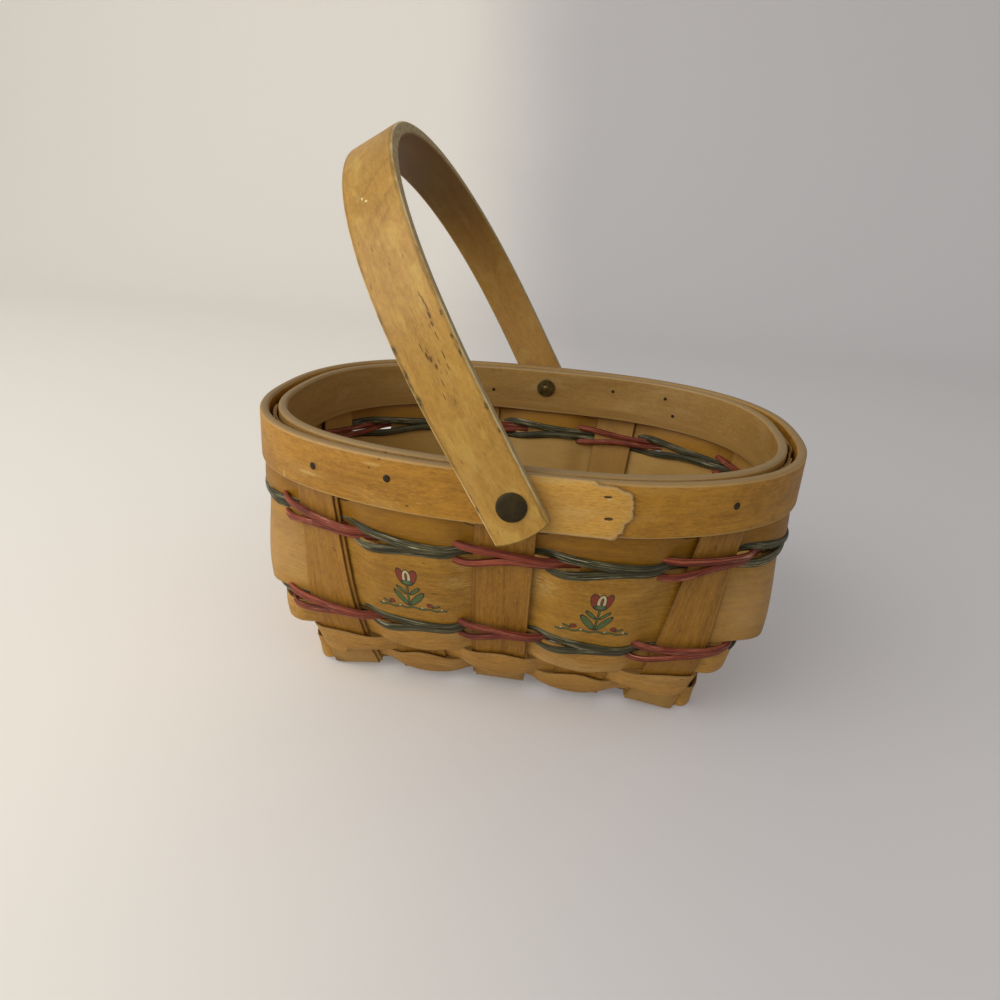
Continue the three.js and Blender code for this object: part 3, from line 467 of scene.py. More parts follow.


# Wear on the handle, with its painted light and shade: a paler side face, a cream corner line
# and a darker inner face. Each spot is its distance from the front foot and from the middle of the
# outer face, then its two radii, in millimetres
handleWearAndLight = {
    # side and sideDeep lighten the shaded side face, painted light; corner is a painted highlight
    "side": rgb(196, 174, 128), "sideDeep": rgb(140, 120, 80), "corner": rgb(236, 212, 160),
    "edge": rgb(78, 64, 28), "scratch": rgb(88, 54, 8), "smudge": rgb(122, 84, 44), "nick": rgb(240, 226, 170),
    # inside and insideTopShade are painted shade on the handle's inner face
    "inside": rgb(138, 96, 50), "insideTopShade": rgb(96, 80, 62), "top": (262.0, 322.0), "bright": rgb(214, 180, 92),
    "inner": 5.6, "strand": (420, 1900, 47, 3, 0.7), "pale": (50, 120, 71, 3, 0.6, 0.5),
    "nicked": (260, 1500, 67, 2, 0.6), "keep": (45, 40, 53, 3, 0.6),
    "scratches": [
        ((105.4, 6.2), (1.5, 0.22)), ((103.0, 6.7), (1.9, 0.32)), ((99.8, 7.0), (2.0, 0.26)), ((96.6, 6.6), (1.7, 0.5)),
        ((93.4, 6.3), (1.3, 0.4)), ((89.0, 6.0), (1.9, 0.22)), ((85.6, 0.2), (1.6, 0.22)), ((83.6, -0.7), (1.9, 0.5)),
        ((82.0, 0.1), (1.4, 0.6)), ((78.6, 0.9), (1.2, 0.6)), ((81.2, 5.4), (1.8, 0.3)), ((76.9, 5.0), (1.5, 0.24)),
        ((72.2, 0.3), (1.9, 0.2)), ((67.2, -1.6), (1.7, 0.22)), ((87.6, -1.5), (1.8, 0.2)), ((79.8, 2.6), (1.6, 0.18)),
    ],
    "scuffed": [((86.0, 2.0), (20.0, 6.0)), ((66.0, 0.0), (9.0, 4.0))],
    "smudges": [((64.0, 0.4), (3.4, 1.7)), ((81.5, 0.4), (4.5, 1.6)), ((98.0, 6.8), (6.5, 0.8))],
    "stains": [((160.0, 3.0), (22.0, 12.0)), ((186.0, -2.0), (12.0, 9.0))],
    "edgeSpots": [
        ((91.0, -11.6), (2.2, 1.0)), ((80.9, -11.7), (2.0, 0.9)), ((69.9, -11.6), (3.4, 1.2)),
        ((76.0, -11.9), (3.0, 0.7)), ((95.2, 11.3), (1.6, 0.8)), ((86.0, 11.4), (1.2, 0.7)),
        ((79.2, 11.6), (1.5, 0.6)), ((57.0, 11.6), (1.8, 0.8)), ((46.0, 11.8), (1.4, 0.5)),
        ((104.0, -11.9), (3.0, 0.5)), ((20.0, -11.9), (2.0, 0.5)),
    ],
    "nicks": [((156.9, -3.7), (0.9, 0.45)), ((154.4, -2.2), (0.6, 0.6))],
}


def paintHandleWearAndLight(wire, color, roughness, along, across, margin, ragged):
    look = handleWearAndLight
    place = wire.vector(along, across)
    face = abs(across) * (1 / mm)
    half = grip["width"] / 2
    inner = half + look["inner"]  # where the inner face starts on the map
    strand, pale, nicked, keep = (
        strandNoise(wire, along, across, 0, *look[key]) for key in ("strand", "pale", "nicked", "keep")
    )

    def spots(name, soft=0.2):
        listed = [((*centre, 0.0), (*radii, 1.0)) for centre, radii in look[name]]
        return allDabs(wire, place, strand, listed, soft)

    color = color.coat(pale.between(0.52, 0.66) * 0.35, look["bright"])
    slant = wire.noise(wire.vector(along * 22.0 + across * 34.0, (along - across) * 150.0, 61.0), 1.0, 3.0, 0.6)
    color = color.coat(spots("stains", 0.6) * slant.between(0.48, 0.66) * 0.4, look["smudge"])
    color = color.coat(spots("smudges", 0.6) * 0.35, look["smudge"])
    color = color.coat(spots("scuffed", 0.5) * nicked.between(0.62, 0.7) * 0.55, look["scratch"])
    color = color.coat(spots("scratches", 0.3) * 0.8, look["scratch"])
    color = color.coat(spots("nicks") * 0.9, look["nick"])
    innerFace = face.between(inner, inner + 0.6)
    low, high = look["top"]
    shadedArchTop = along.between((low - 90.0) * mm, low * mm) * (1.0 - along.between(high * mm, (high + 110.0) * mm))
    # Painted shade: the inner face is darker, most of all under the top of the arch
    color = color.coat(innerFace * 0.4, look["inside"])
    color = color.coat(innerFace * shadedArchTop * 0.6, look["insideTopShade"])
    # Painted light on the side face, and a painted highlight along the outer corner
    side = face.between(half + 0.15, half + 0.5) * (1.0 - face.between(inner - 0.5, inner - 0.1))
    color = color.coat(side * 0.85, wire.blend(ragged.between(0.3, 0.7), look["sideDeep"], look["side"]))
    ragCorner = (ragged - 0.5) * 0.8
    kept = keep.between(0.3, 0.55)
    outer = 1.0 - abs(face - half + ragCorner).between(0.25, 0.75)
    color = color.coat(outer * kept * 0.75, look["corner"])
    rim = (1.0 - abs(face - half + 1.1 + ragCorner * 1.4).between(0.3, 0.9)) * (1.0 - kept * 0.6)
    color = color.coat(rim * 0.5, look["edge"])
    innerEdge = 1.0 - abs(face - inner + ragCorner).between(0.2, 0.7)
    color = color.coat(innerEdge * 0.5, look["sideDeep"])
    color = color.coat(spots("edgeSpots", 0.5) * strand.between(0.36, 0.56), look["edge"])
    end = 1.0 - (margin + ragCorner).between(0.3, 0.9)
    color = color.coat(end * 0.6, look["edge"])
    return color, roughness + side * 0.15


# Rows for strandNoise: the fibres, broad tones, and rubbed fibres in rubbed places
reedNoise = {
    "fibre": (14, 1500, 0, 3, 0.65, 0.2), "broad": (60, 200, 5, 3, 0.6),
    "rub": (60, 1500, 9, 4, 0.65), "rubbed": (25, 100, 15, 2, 0.6),
}


def makeReed(name, deep, mid, pale, scuff):
    material, wire = newMaterial(name)
    along, across = wire.grain()
    seed = wire.attribute("seed")
    fibre, broad, rub, rubbed = (strandNoise(wire, along, across, seed, *field) for field in reedNoise.values())
    tone = (fibre * 0.7 + broad * 0.3).between(0.36, 0.64)
    color = wire.node("ShaderNodeValToRGB", {"stops": [(0.0, deep), (0.55, mid), (1.0, pale)]}, {"Fac": tone})
    color = color.coat(rub.between(0.52, 0.64) * rubbed.between(0.42, 0.6) * 0.85, scuff)
    roughness = 0.5 + (broad - 0.5) * 0.2
    finishMaterial(wire, color, roughness, fibre * 0.8 + broad * 0.5, (0.5, 0.0004), {"Specular IOR Level": 0.28})
    return material


def makeMetal(name, dark, light, rough, metallic):
    material, wire = newMaterial(name)
    place = wire.objectPlace()
    broad = wire.noise(place, 260.0, 4.0, 0.6)
    fine = wire.noise(place, 1500.0, 3.0, 0.6)
    worn = 1.0 - (wire.attribute("margin") + (fine - 0.5) * 0.8).between(0.05, 0.6)
    tone = (broad * 0.6 + fine * 0.4).between(0.38, 0.66)
    color = wire.node("ShaderNodeValToRGB", {"stops": [(0.0, dark), (1.0, light)]}, {"Fac": tone})
    color = color.coat(worn * 0.4, tuple(min(1.0, 1.6 * c + 0.01) for c in light))
    fixed = {"Metallic": metallic, "Specular IOR Level": 0.3}
    finishMaterial(wire, color, rough + (fine - 0.5) * 0.25, broad + fine * 0.5, (0.25, 0.0002), fixed)
    return material


materials = {
    "upright": makeWood("uprightWood", woods["upright"], markUprights),
    "weaver": makeWood("weaverWood", woods["weaver"]),
    "low": makeWood("lowLitWood", woods["low"]),
    "amber": makeWood("amberWood", woods["amber"]),
    "printed": makeWood("printedWood", woods["weaver"], printSprig),
    "band": makeWood("bandWood", woods["band"], markBands),
    "inner": makeWood("innerWood", woods["inner"], markBands),
    "raw": makeWood("rawWood", woods["raw"], markBands),
    "handle": makeWood("handleWood", woods["handle"], paintHandleWearAndLight),
    "red": makeReed("redReed", rgb(74, 28, 14), rgb(128, 54, 36), rgb(168, 86, 58), rgb(206, 146, 110)),
    "green": makeReed("greenReed", rgb(28, 27, 14), rgb(64, 60, 36), rgb(106, 100, 68), rgb(202, 192, 152)),
    "brass": makeMetal("darkBrass", rgb(40, 30, 2), rgb(60, 46, 4), 0.6, 0.05),
    "burr": makeMetal("burrBrass", rgb(78, 64, 34), rgb(126, 108, 64), 0.4, 0.7),
    "tack": makeMetal("tackSteel", rgb(30, 20, 4), rgb(62, 44, 14), 0.65, 0.0),
}
print("materials made:", len(materials))


# The wall of the basket. Posts 1 to 5 stand at the front, 6 to 8 at the right end, 9 to 13 at the
# back and 14 to 16 at the left end; a turn is a place round the wall, counted in posts
shell = {
    "posts": 16,
    "rimHalfLength": 133.9, "rimHalfWidth": 104.4, "rimHeight": 141.0, "rimSquareness": 2.5,
    "baseHalfLength": 99.0, "baseHalfWidth": 59.0, "baseSquareness": 18.0,
    "flareHeight": 112.5, "baseRise": 5.0, "riseFade": 30.0, "flat": 88.0,
    "pitchBase": 39.4, "pitchRim": 46.75, "endPitchBase": 39.0, "endPitchRim": 46.0, "lean": 3.0,
    "recess": 4.0, "steepEnd": 52.0,
}


nudge = {"angle": 0.001, "height": 0.3}  # steps that the directions are measured over


def smooth(share):
    return share * share * (3 - 2 * share)


# Half a wave that is 1 at its middle and 0 from span on
def bump(away, span):
    return np.cos(math.pi / 2 * np.clip(away / span, 0, 1)) ** 2


def unit(v):
    return v / np.maximum(np.linalg.norm(v, axis=-1, keepdims=True), 1e-9)


def runLength(points):
    return np.concatenate([[0], np.cumsum(np.linalg.norm(np.diff(points, axis=0), axis=1))])


def ovalReach(angle, a, b, n):
    return ((np.abs(np.cos(angle)) / a) ** n + (np.abs(np.sin(angle)) / b) ** n) ** (-1 / n)


# Half length, half width and squareness of the wall at a height
def section(height):
    share = np.clip(height / shell["flareHeight"], 0, 1)
    ends = (1 - (1 - share ** 1.6) ** 3) * smooth(np.clip(height / shell["steepEnd"], 0, 1))
    sides = 1 - (1 - share) ** 1.4
    a = shell["baseHalfLength"] + (shell["rimHalfLength"] - shell["baseHalfLength"]) * ends
    b = shell["baseHalfWidth"] + (shell["rimHalfWidth"] - shell["baseHalfWidth"]) * sides
    n = shell["rimSquareness"] + (shell["baseSquareness"] - shell["rimSquareness"]) * (1 - share) ** 3
    return a, b, n


def rise(x):
    return shell["baseRise"] * np.maximum(0, 1 - (x / shell["flat"]) ** 4)


# A point of the middle of the wall, whose foot follows the raised middle of the base
def wallPoint(angle, height):
    reach = ovalReach(angle, *section(height))
    x, y = reach * np.cos(angle), reach * np.sin(angle)
    z = height + rise(x) * np.maximum(0, 1 - height / shell["riseFade"])
    return np.stack([x, y, z], -1)


def wallNormal(angle, height):
    turn, lift = nudge["angle"], nudge["height"]
    across = wallPoint(angle + turn, height) - wallPoint(angle - turn, height)
    up = wallPoint(angle, height + lift) - wallPoint(angle, height - lift)
    return unit(np.cross(across, up))


# A post's angle at a height, which keeps growing from one time round to the next
def stakeAngle(index, height):
    turns, k = np.divmod(index - 1.0, shell["posts"])
    k = k + 1
    share = np.clip(height / shell["flareHeight"], 0, 1)
    pitch = shell["pitchBase"] + (shell["pitchRim"] - shell["pitchBase"]) * share
    endPitch = shell["endPitchBase"] + (shell["endPitchRim"] - shell["endPitchBase"]) * share
    lean = shell["lean"] * share
    a, b, n = section(height)
    sides = [k <= 5, k <= 8, k <= 13]
    x = np.select(sides, [(k - 3) * pitch + lean, 0 * pitch, (11 - k) * pitch + lean], 0 * pitch)
    y = np.select(sides, [0 * pitch, (k - 7) * endPitch, 0 * pitch], (15 - k) * endPitch)
    fullY = b * np.maximum(0.001, 1 - np.abs(x / a) ** n) ** (1 / n)
    fullX = a * np.maximum(0.001, 1 - np.abs(y / b) ** n) ** (1 / n)
    angle = np.arctan2(np.select(sides, [-fullY, y, fullY], y), np.select(sides, [x, fullX, x], -fullX))
    angle = np.where((k > 7) & (angle < -math.pi / 4), angle + 2 * math.pi, angle)
    return angle + turns * 2 * math.pi


def weaveAngle(turn, height):
    k = np.floor(turn)
    share = turn - k
    return stakeAngle(k, height) * (1 - share) + stakeAngle(k + 1, height) * share


def roundTurns(steps):
    return 1 + np.arange(shell["posts"] * steps) / steps


# Points of the wall that stand out from it by an offset, and the wall's normals there
def wovenPoint(turn, height, offset):
    angle = weaveAngle(turn, height)
    normal = wallNormal(angle, height)
    return wallPoint(angle, height) + normal * offset[..., None], normal


# A smooth closed run of small seeded offsets, one value per post
def ripple(seed, size, turn, count=shell["posts"]):
    values = np.random.RandomState(seed).uniform(-size, size, count)
    k = np.floor(turn).astype(int)
    share = smooth(turn - k)
    return values[k % count] * (1 - share) + values[(k + 1) % count] * share


def addMap(mesh, name, uv):
    mesh.uv_layers.new(name=name).data.foreach_set("uv", uv.ravel().astype(np.float32))


def finishMesh(name, mesh, values, sharp):
    for key, value in values.items():
        data = np.asarray(value, float).ravel()
        mesh.attributes.new(key, "FLOAT", "POINT").data.foreach_set("value", data.astype(np.float32))
    mesh.update()
    bm = bmesh.new()
    bm.from_mesh(mesh)
    bmesh.ops.recalc_face_normals(bm, faces=bm.faces)
    bm.to_mesh(mesh)
    bm.free()
    mesh.shade_smooth()
    mesh.set_sharp_from_angle(angle=math.radians(sharp))
    return addObject(name, mesh)


# Turns rings of points into a mesh with its grain map, its margin and its seed
def ringMesh(name, rings, grain, margin, loop, seed, printed=None, sharp=35):
    stations, size = rings.shape[:2]
    verts = (rings * mm).reshape(-1, 3)
    i = np.arange(stations if loop else stations - 1)
    nextI = (i + 1) % stations
    j = np.arange(size)
    here = (i[:, None] * size + j).ravel()
    nextJ = (i[:, None] * size + (j + 1) % size).ravel()
    ahead = (nextI[:, None] * size + j).ravel()
    aheadJ = (nextI[:, None] * size + (j + 1) % size).ravel()
    quads = np.stack([here, ahead, aheadJ, nextJ], -1)
    along, across = grain
    lap = along[-1] + np.linalg.norm(rings[0].mean(0) - rings[-1].mean(0))
    alongNext = np.append(along[1:], lap) if loop else along[1:]
    u0, u1 = np.repeat(along[: len(i)], size), np.repeat(alongNext, size)
    if across.shape[1] == size:
        across = np.concatenate([across, across[:, :1]], 1)
    v0, v1 = across[i, :-1].ravel(), across[i, 1:].ravel()
    w0, w1 = across[nextI, :-1].ravel(), across[nextI, 1:].ravel()
    uv = np.stack([u0, v0, u1, w0, u1, w1, u0, v1], -1).reshape(-1, 2) * mm
    faces = quads.tolist()
    if not loop:
        faces += [list(range(size)), list(range((stations - 1) * size, stations * size))[::-1]]
        ends = [(along[0], across[0, k]) for k in range(size)]
        ends += [(along[-1], across[-1, k]) for k in range(size)][::-1]
        uv = np.vstack([uv, np.array(ends) * mm])
    mesh = bpy.data.meshes.new(name)
    mesh.from_pydata(verts.tolist(), [], faces)
    addMap(mesh, "grain", uv)
    if printed is not None:
        px, py = printed
        qx, qy = np.roll(px, -1, 1), np.roll(py, -1, 1)
        marks = np.stack([px[i], py[i], px[nextI], py[nextI], qx[nextI], qy[nextI], qx[i], qy[i]], -1)
        addMap(mesh, "print", marks * mm)
    return finishMesh(name, mesh, {"margin": margin, "seed": np.full(stations * size, float(seed))}, sharp)


def dress(piece, body, slot, material, *nodes):
    piece.data.materials.clear()
    piece.data.materials.append(materials[material])
    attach(piece, body)
    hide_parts(*nodes)


# A thin strip from the grid of its middle surface, with eased edges. The map of its inner face
# starts further across, and blank is a place far off the print
strip = {"ease": 0.22, "edge": 0.45, "innerMap": 90, "blank": 9000.0}


def stripMesh(name, grid, thickness, loop=False, seed=0.0, printed=None):
    along = np.roll(grid, -1, 0) - np.roll(grid, 1, 0) if loop else np.gradient(grid, axis=0)
    acrossWay = unit(np.gradient(grid, axis=1))
    normal = unit(np.cross(along, acrossWay))
    half = thickness / 2
    outer, inner = grid + normal * half, grid - normal * half
    for face in (outer, inner):
        face[:, 0] += acrossWay[:, 0] * strip["ease"]
        face[:, -1] -= acrossWay[:, -1] * strip["ease"]
    edge = normal * (half * strip["edge"])
    rings = np.concatenate([
        outer, (grid + edge)[:, -1:], (grid - edge)[:, -1:], inner[:, ::-1], (grid - edge)[:, :1], (grid + edge)[:, :1],
    ], 1)

    def around(value, further=0):
        first, last = value[:, :1], value[:, -1:]
        return np.concatenate([value, last, last, value[:, ::-1] + further, first, first], 1)

    gaps = np.linalg.norm(np.diff(grid, axis=1), axis=2)
    side = np.concatenate([np.zeros((len(grid), 1)), np.cumsum(gaps, 1)], 1)
    width = side[:, -1:]
    grain = (runLength(grid[:, grid.shape[1] // 2]), around(side - width / 2, strip["innerMap"]))
    marks = None
    if printed is not None:
        blank = np.full((len(grid), rings.shape[1] - grid.shape[1]), strip["blank"])
        marks = [np.concatenate([value, blank], 1) for value in printed]
    return ringMesh(name, rings, grain, around(np.minimum(side, width - side)), loop, seed, marks)


# Uprights, each one strip that crosses the base and climbs both walls
upright = {
    "width": 25.4, "thickness": 0.9, "bend": 0.9, "first": 2.4, "across": 13, "overlap": 1.35,
    "heights": 46, "bendSteps": 9, "bendPull": 0.55, "uneven": 0.5, "acrossSteps": 60, "alongSteps": 100,
}


# The angle a distance further along the wall's outline
def outlineStep(angle, height, distance, steps=8):
    turn = nudge["angle"]
    for _ in range(steps):
        speed = np.linalg.norm(wallPoint(angle + turn, height) - wallPoint(angle - turn, height), axis=-1) / (2 * turn)
        angle = angle + distance / steps / speed
    return angle


def stakeGrid(k, heights, width, shift=0.0, offset=0.0):
    shares = np.linspace(-0.5, 0.5, upright["across"])
    h = np.repeat(heights[:, None], len(shares), 1)
    start = stakeAngle(float(k) + 0 * h, h)
    angle = outlineStep(start, h, shift + shares[None] * width)
    return wallPoint(angle, h) + wallNormal(angle, h) * offset


def wallHeights(bottom, top):
    return bottom + (top - bottom) * np.linspace(0, 1, upright["heights"])


# One end of an upright: base level, then the bend, then the wall, from inside out
def stakeEnd(k, level, top):
    wall = stakeGrid(k, wallHeights(upright["first"], top), upright["width"])
    foot = stakeGrid(k, np.array([0.0]), upright["width"])[0]
    flat = np.array([1, 1, 0])
    outward = unit((wall[0] - foot + wallNormal(np.arctan2(foot[:, 1], foot[:, 0]), 0 * foot[:, 0])) * flat)
    start = foot - outward * upright["bend"]
    start[:, 2] = level(start)
    span = np.linalg.norm(wall[0] - start, axis=1, keepdims=True) * upright["bendPull"]
    leave, arrive = start + outward * span, wall[0] - unit(wall[1] - wall[0]) * span
    bend = [(1 - t) ** 3 * start + 3 * (1 - t) ** 2 * t * leave + 3 * (1 - t) * t * t * arrive + t ** 3 * wall[0]
            for t in np.linspace(0, 1, upright["bendSteps"])[:-1]]
    return np.concatenate([np.array(bend), wall])


# Height of a base strip: over one crossing strip and under the next
def baseLevel(position, pitch, count, startsUpper, x):
    half = (count - 1) / 2
    place = np.clip(position / pitch + half, 0, count - 1)
    k = np.floor(place)
    gap = upright["width"] / pitch / 2
    share = smooth(np.clip((place - k - gap) / (1 - 2 * gap), 0, 1))
    upper = np.where((k + startsUpper) % 2 == 0, 1.0, 0.0)
    state = upper * (1 - share) + (1 - upper) * share
    return upright["thickness"] / 2 + state * upright["overlap"] + rise(x)


def makeAcross(i):
    middleX = (i - 3) * shell["pitchBase"]
    top = shell["rimHeight"] - shell["recess"] + ripple(3, upright["uneven"], np.array(float(i)))

    def level(p):
        return baseLevel(p[..., 1], shell["endPitchBase"], 3, i - 1, p[..., 0])

    front = stakeEnd(i, level, top)
    back = stakeEnd(14 - i, level, top)[:, ::-1]
    y = np.linspace(front[0, :, 1], back[0, :, 1], upright["acrossSteps"])[1:-1]
    x = 0 * y + middleX + np.linspace(-0.5, 0.5, upright["across"]) * upright["width"]
    z = baseLevel(y, shell["endPitchBase"], 3, i - 1, x)
    base = np.stack([x, y, z], -1)
    grid = np.concatenate([front[::-1], base, back])
    piece = stripMesh(f"uprightAcross{i}", grid, upright["thickness"], seed=3.1 * i)
    dress(piece, "basket", "splint", "upright", f"stake_across_{i}")


def makeAlong(j, place):
    middleY = (j - 1) * shell["endPitchBase"]
    top = shell["rimHeight"] - shell["recess"] + ripple(5, upright["uneven"], np.array(float(j)))

    def level(p):
        return baseLevel(p[..., 0], shell["pitchBase"], 5, j + 1, p[..., 0])

    right = stakeEnd(6 + j, level, top)[:, ::-1]
    left = stakeEnd(16 - j, level, top)
    x = np.linspace(left[0, :, 0], right[0, :, 0], upright["alongSteps"])[1:-1]
    y = 0 * x + middleY + np.linspace(0.5, -0.5, upright["across"]) * upright["width"]
    z = baseLevel(x, shell["pitchBase"], 5, j + 1, x)
    grid = np.concatenate([left[::-1], np.stack([x, y, z], -1), right])
    piece = stripMesh(f"uprightAlong{place.capitalize()}", grid, upright["thickness"], seed=40 + 2.3 * j)
    dress(piece, "basket", "splint", "upright", f"stake_along_{place}")


for i in range(1, 6):
    makeAcross(i)
for j, place in enumerate(["front", "middle", "back"]):
    makeAlong(j, place)
print("uprights made")


# Second strips inside every other upright
liner = {"width": 24.0, "thickness": 0.8, "shift": 2.6, "offset": -1.05, "foot": 2.5, "top": 137.0}
for k in range(1, shell["posts"], 2):
    side = liner["shift"] if k % 4 == 1 else -liner["shift"]
    grid = stakeGrid(k, wallHeights(liner["foot"], liner["top"]), liner["width"], side, liner["offset"])[::-1]
    piece = stripMesh(f"liner{k}", grid, liner["thickness"], seed=60 + k)
    dress(piece, "basket", "splint", "upright", f"liner_{k}")
print("liners made")


# Weavers: lift and liner are the room for an upright and for an upright with its second strip
weave = {
    "thickness": 0.8, "steps": 24, "lift": 0.45, "liner": 1.4, "clear": 0.07, "sharpness": 2.2,
    "crown": 0.12, "wobble": 0.35, "cornerSpan": 0.6, "shiftSpan": 0.7,
}
# Each row covers the even posts where outside is 0 and the odd ones where it is 1; bottom and top
# are the heights of its edges at a post and between two. By turn, stand says how far the lower and
# the upper edge stand out at a corner, and the shifts move an edge up. A row can also swell with
# another power (lens), rise or drop where it is tucked in, and cross early at the corners
# Rows take the paler low wood unless they name another; that paleness is painted light
plainRow = {
    "stand": {}, "footShift": {}, "topShift": {}, "lens": 3, "footLens": 3, "insideRise": 0.0, "turnIn": 0.0,
    "tuckDrop": 0.0, "points": 7, "wood": "low",
}
rows = [
    {
        "node": "weaver_row_1", "outside": 0, "bottom": (2.0, 8.6), "top": (23.8, 19.4), "bulge": 0.9,
        "stand": {6: (1.5, 0), 14: (2.5, 0), 16: (3.5, 0.5)}, "footShift": {5.5: -4.0, 16.5: -5.0},
        "footLens": 1.2, "insideRise": 4.2, "turnIn": 0.24,
    },
    {
        "node": "weaver_row_2", "outside": 1, "bottom": (15.2, 19.2), "top": (34.2, 32.2), "bulge": 1.0,
        "footShift": {1: 3.6, 3: -5.6, 5: 1.2}, "turnIn": 0.24,
    },
    {
        "node": "weaver_row_3", "outside": 0, "bottom": (29.0, 32.0), "top": (46.4, 47.0), "bulge": 1.0,
        "stand": {5.6: (2.5, -2.2), 6: (4, 0), 8: (5, 1), 14: (4, 0.5), 16: (3.5, 0.5), 16.4: (5.5, 0.5)},
        "footShift": {5.6: 3.6, 16.4: 5.0}, "topShift": {3.35: 2.6}, "turnIn": 0.24,
    },
    {
        "node": "weaver_wide", "outside": 0, "bottom": (52.6, 52.2), "top": (95.4, 96.0), "bulge": 1.4,
        "stand": {5.6: (4.5, -1.5), 6: (5, 0.5), 8: (4, 0.5), 14: (3, 0.5), 16: (2.5, 1), 16.4: (3.5, 0)},
        "footShift": {5.6: 3.0, 16.4: 1.5}, "points": 13, "wood": "printed",
    },
    # Row 4 takes the darker wood: painted shade under the rim band
    {
        "node": "weaver_row_4", "outside": 0, "bottom": (100.8, 100.2), "top": (116.1, 116.1), "bulge": 0.8,
        "stand": {6: (3.6, 2.4), 8: (2.5, 1.5), 14: (2.5, 1.5), 16: (3.6, 2.4)}, "tuckDrop": 4.2, "wood": "amber",
    },
]
cornerPosts = ((5, 1), (8, -1), (13, 1), (16, -1))  # the post before each corner, and the way to it


def cornerStand(turn, share, stands):
    total = 0 * turn * share
    for k, (low, high) in stands.items():
        away = np.minimum(np.abs(turn - k), np.abs(turn - k - shell["posts"]))
        total = total + bump(away, weave["cornerSpan"]) * (low + (high - low) * share)
    return total


def edgeShift(turn, shifts):
    total = 0 * turn
    for k, shift in shifts.items():
        total = total + shift * bump(np.abs(turn - k), weave["shiftSpan"])
    return total


# 1 over the even posts and -1 over the odd ones, with steep crossings between them
def tuckShape(turn, sharpness):
    return np.tanh(sharpness * np.cos(math.pi * turn)) / math.tanh(sharpness)


# How far a weaver's middle stands off the wall, so that it clears the uprights and the liners
def weaveOffset(turn, outside, half, bulge, sharpness=weave["sharpness"]):
    shape = tuckShape(turn + outside, sharpness)
    pitch = shell["pitchBase"]
    free = weave["clear"] + half
    bare = (weave["lift"] + free) / tuckShape(np.array(upright["width"] / 2 / pitch), sharpness)
    lined = (weave["liner"] + free) / tuckShape(np.array((liner["width"] / 2 + liner["shift"]) / pitch), sharpness)
    return np.where(shape > 0, bare + bulge, lined if outside == 0 else bare) * shape


def makeWeaver(number, row):
    turn = roundTurns(weave["steps"])
    post = np.cos(math.pi * turn)
    wobble = ripple(20 + number, weave["wobble"], turn)

    def edge(name, lens):
        atPost, between = row[name]
        return between + (atPost - between) * lens + wobble

    footLens = np.abs(post) ** row["footLens"]
    bottom = edge("bottom", footLens) + row["insideRise"] * footLens * (post < 0)
    bottom = bottom + edgeShift(turn, row["footShift"])
    top = edge("top", np.abs(post) ** row["lens"]) + edgeShift(turn, row["topShift"])
    share = np.linspace(0, 1, row["points"])
    turns = np.repeat(turn[:, None], row["points"], 1)
    crossing = turns
    for k, way in cornerPosts:
        crossing = crossing + way * row["turnIn"] * np.sin(math.pi * np.clip(turns - k, 0, 1)) ** 2
    offset = weaveOffset(crossing, row["outside"], weave["thickness"] / 2, row["bulge"])
    top = top - row["tuckDrop"] * np.clip(-offset / 2.0, 0, 1)[:, -1]
    heights = bottom[:, None] + (top - bottom)[:, None] * share
    crown = 1 + weave["crown"] * (1 - (2 * share - 1) ** 2)
    offset = offset * crown + cornerStand(turns, share, row["stand"])
    printed = None
    if row["wood"] == "printed":
        nearest = np.round(turns / 2) * 2
        fromPanel = np.where(np.isin(nearest, sprig["panels"]), (turns - nearest) * sprig["pitch"], strip["blank"])
        printed = (fromPanel, heights - bottom[:, None])
    grid, _ = wovenPoint(turns, heights, offset)
    name = row["node"].replace("_", "").capitalize()
    piece = stripMesh(name, grid, weave["thickness"], True, 80 + 7.7 * number, printed)
    dress(piece, "basket", "weaver", row["wood"], row["node"])


for number, row in enumerate(rows):
    makeWeaver(number, {**plainRow, **row})

# The weaver hidden between the rim bands
hidden = {"bottom": 116.5, "top": 137.0, "thickness": 0.8, "sharpness": 5.0, "most": 1.3, "points": 5}


def makeHidden():
    turns = np.repeat(roundTurns(weave["steps"])[:, None], hidden["points"], 1)
    heights = np.linspace(hidden["bottom"], hidden["top"], hidden["points"]) + 0 * turns
    offset = weaveOffset(turns, 1, hidden["thickness"] / 2, 0.0, hidden["sharpness"])
    grid, _ = wovenPoint(turns, heights, np.clip(offset, -hidden["most"], hidden["most"]))
    piece = stripMesh("weaverRow5", grid, hidden["thickness"], True, 131.0)
    dress(piece, "basket", "weaver", "weaver", "weaver_row_5")


makeHidden()
print("weavers made")


# Twined reeds: each row is two red and two green flat ovals. A pair enters apart, closes over
# its upright and slips between the strands of the next pair
reed = {
    "sides": 12, "steps": 24, "close": 1.6, "spread": 4.6, "bulge": 0.9, "sharpness": 2.4, "stagger": 0.6,
    "section": {"red": (1.3, 1.85), "green": (1.25, 2.25)}, "climb": {"red": 2.2, "green": 0.0},
    "outside": {"red": 1, "green": 0}, "flat": 0.75, "swell": 0.06, "drift": 0.3, "loose": 0.2, "firstSeed": 200,
}
reedRows = [
    {"place": "lower", "centre": 49.3, "stand": {5.6: (-1.2, -1.2)}},
    {"place": "upper", "centre": 98.0, "stand": {6: (2.4, 2.4), 16: (1.6, 1.6)}},
]


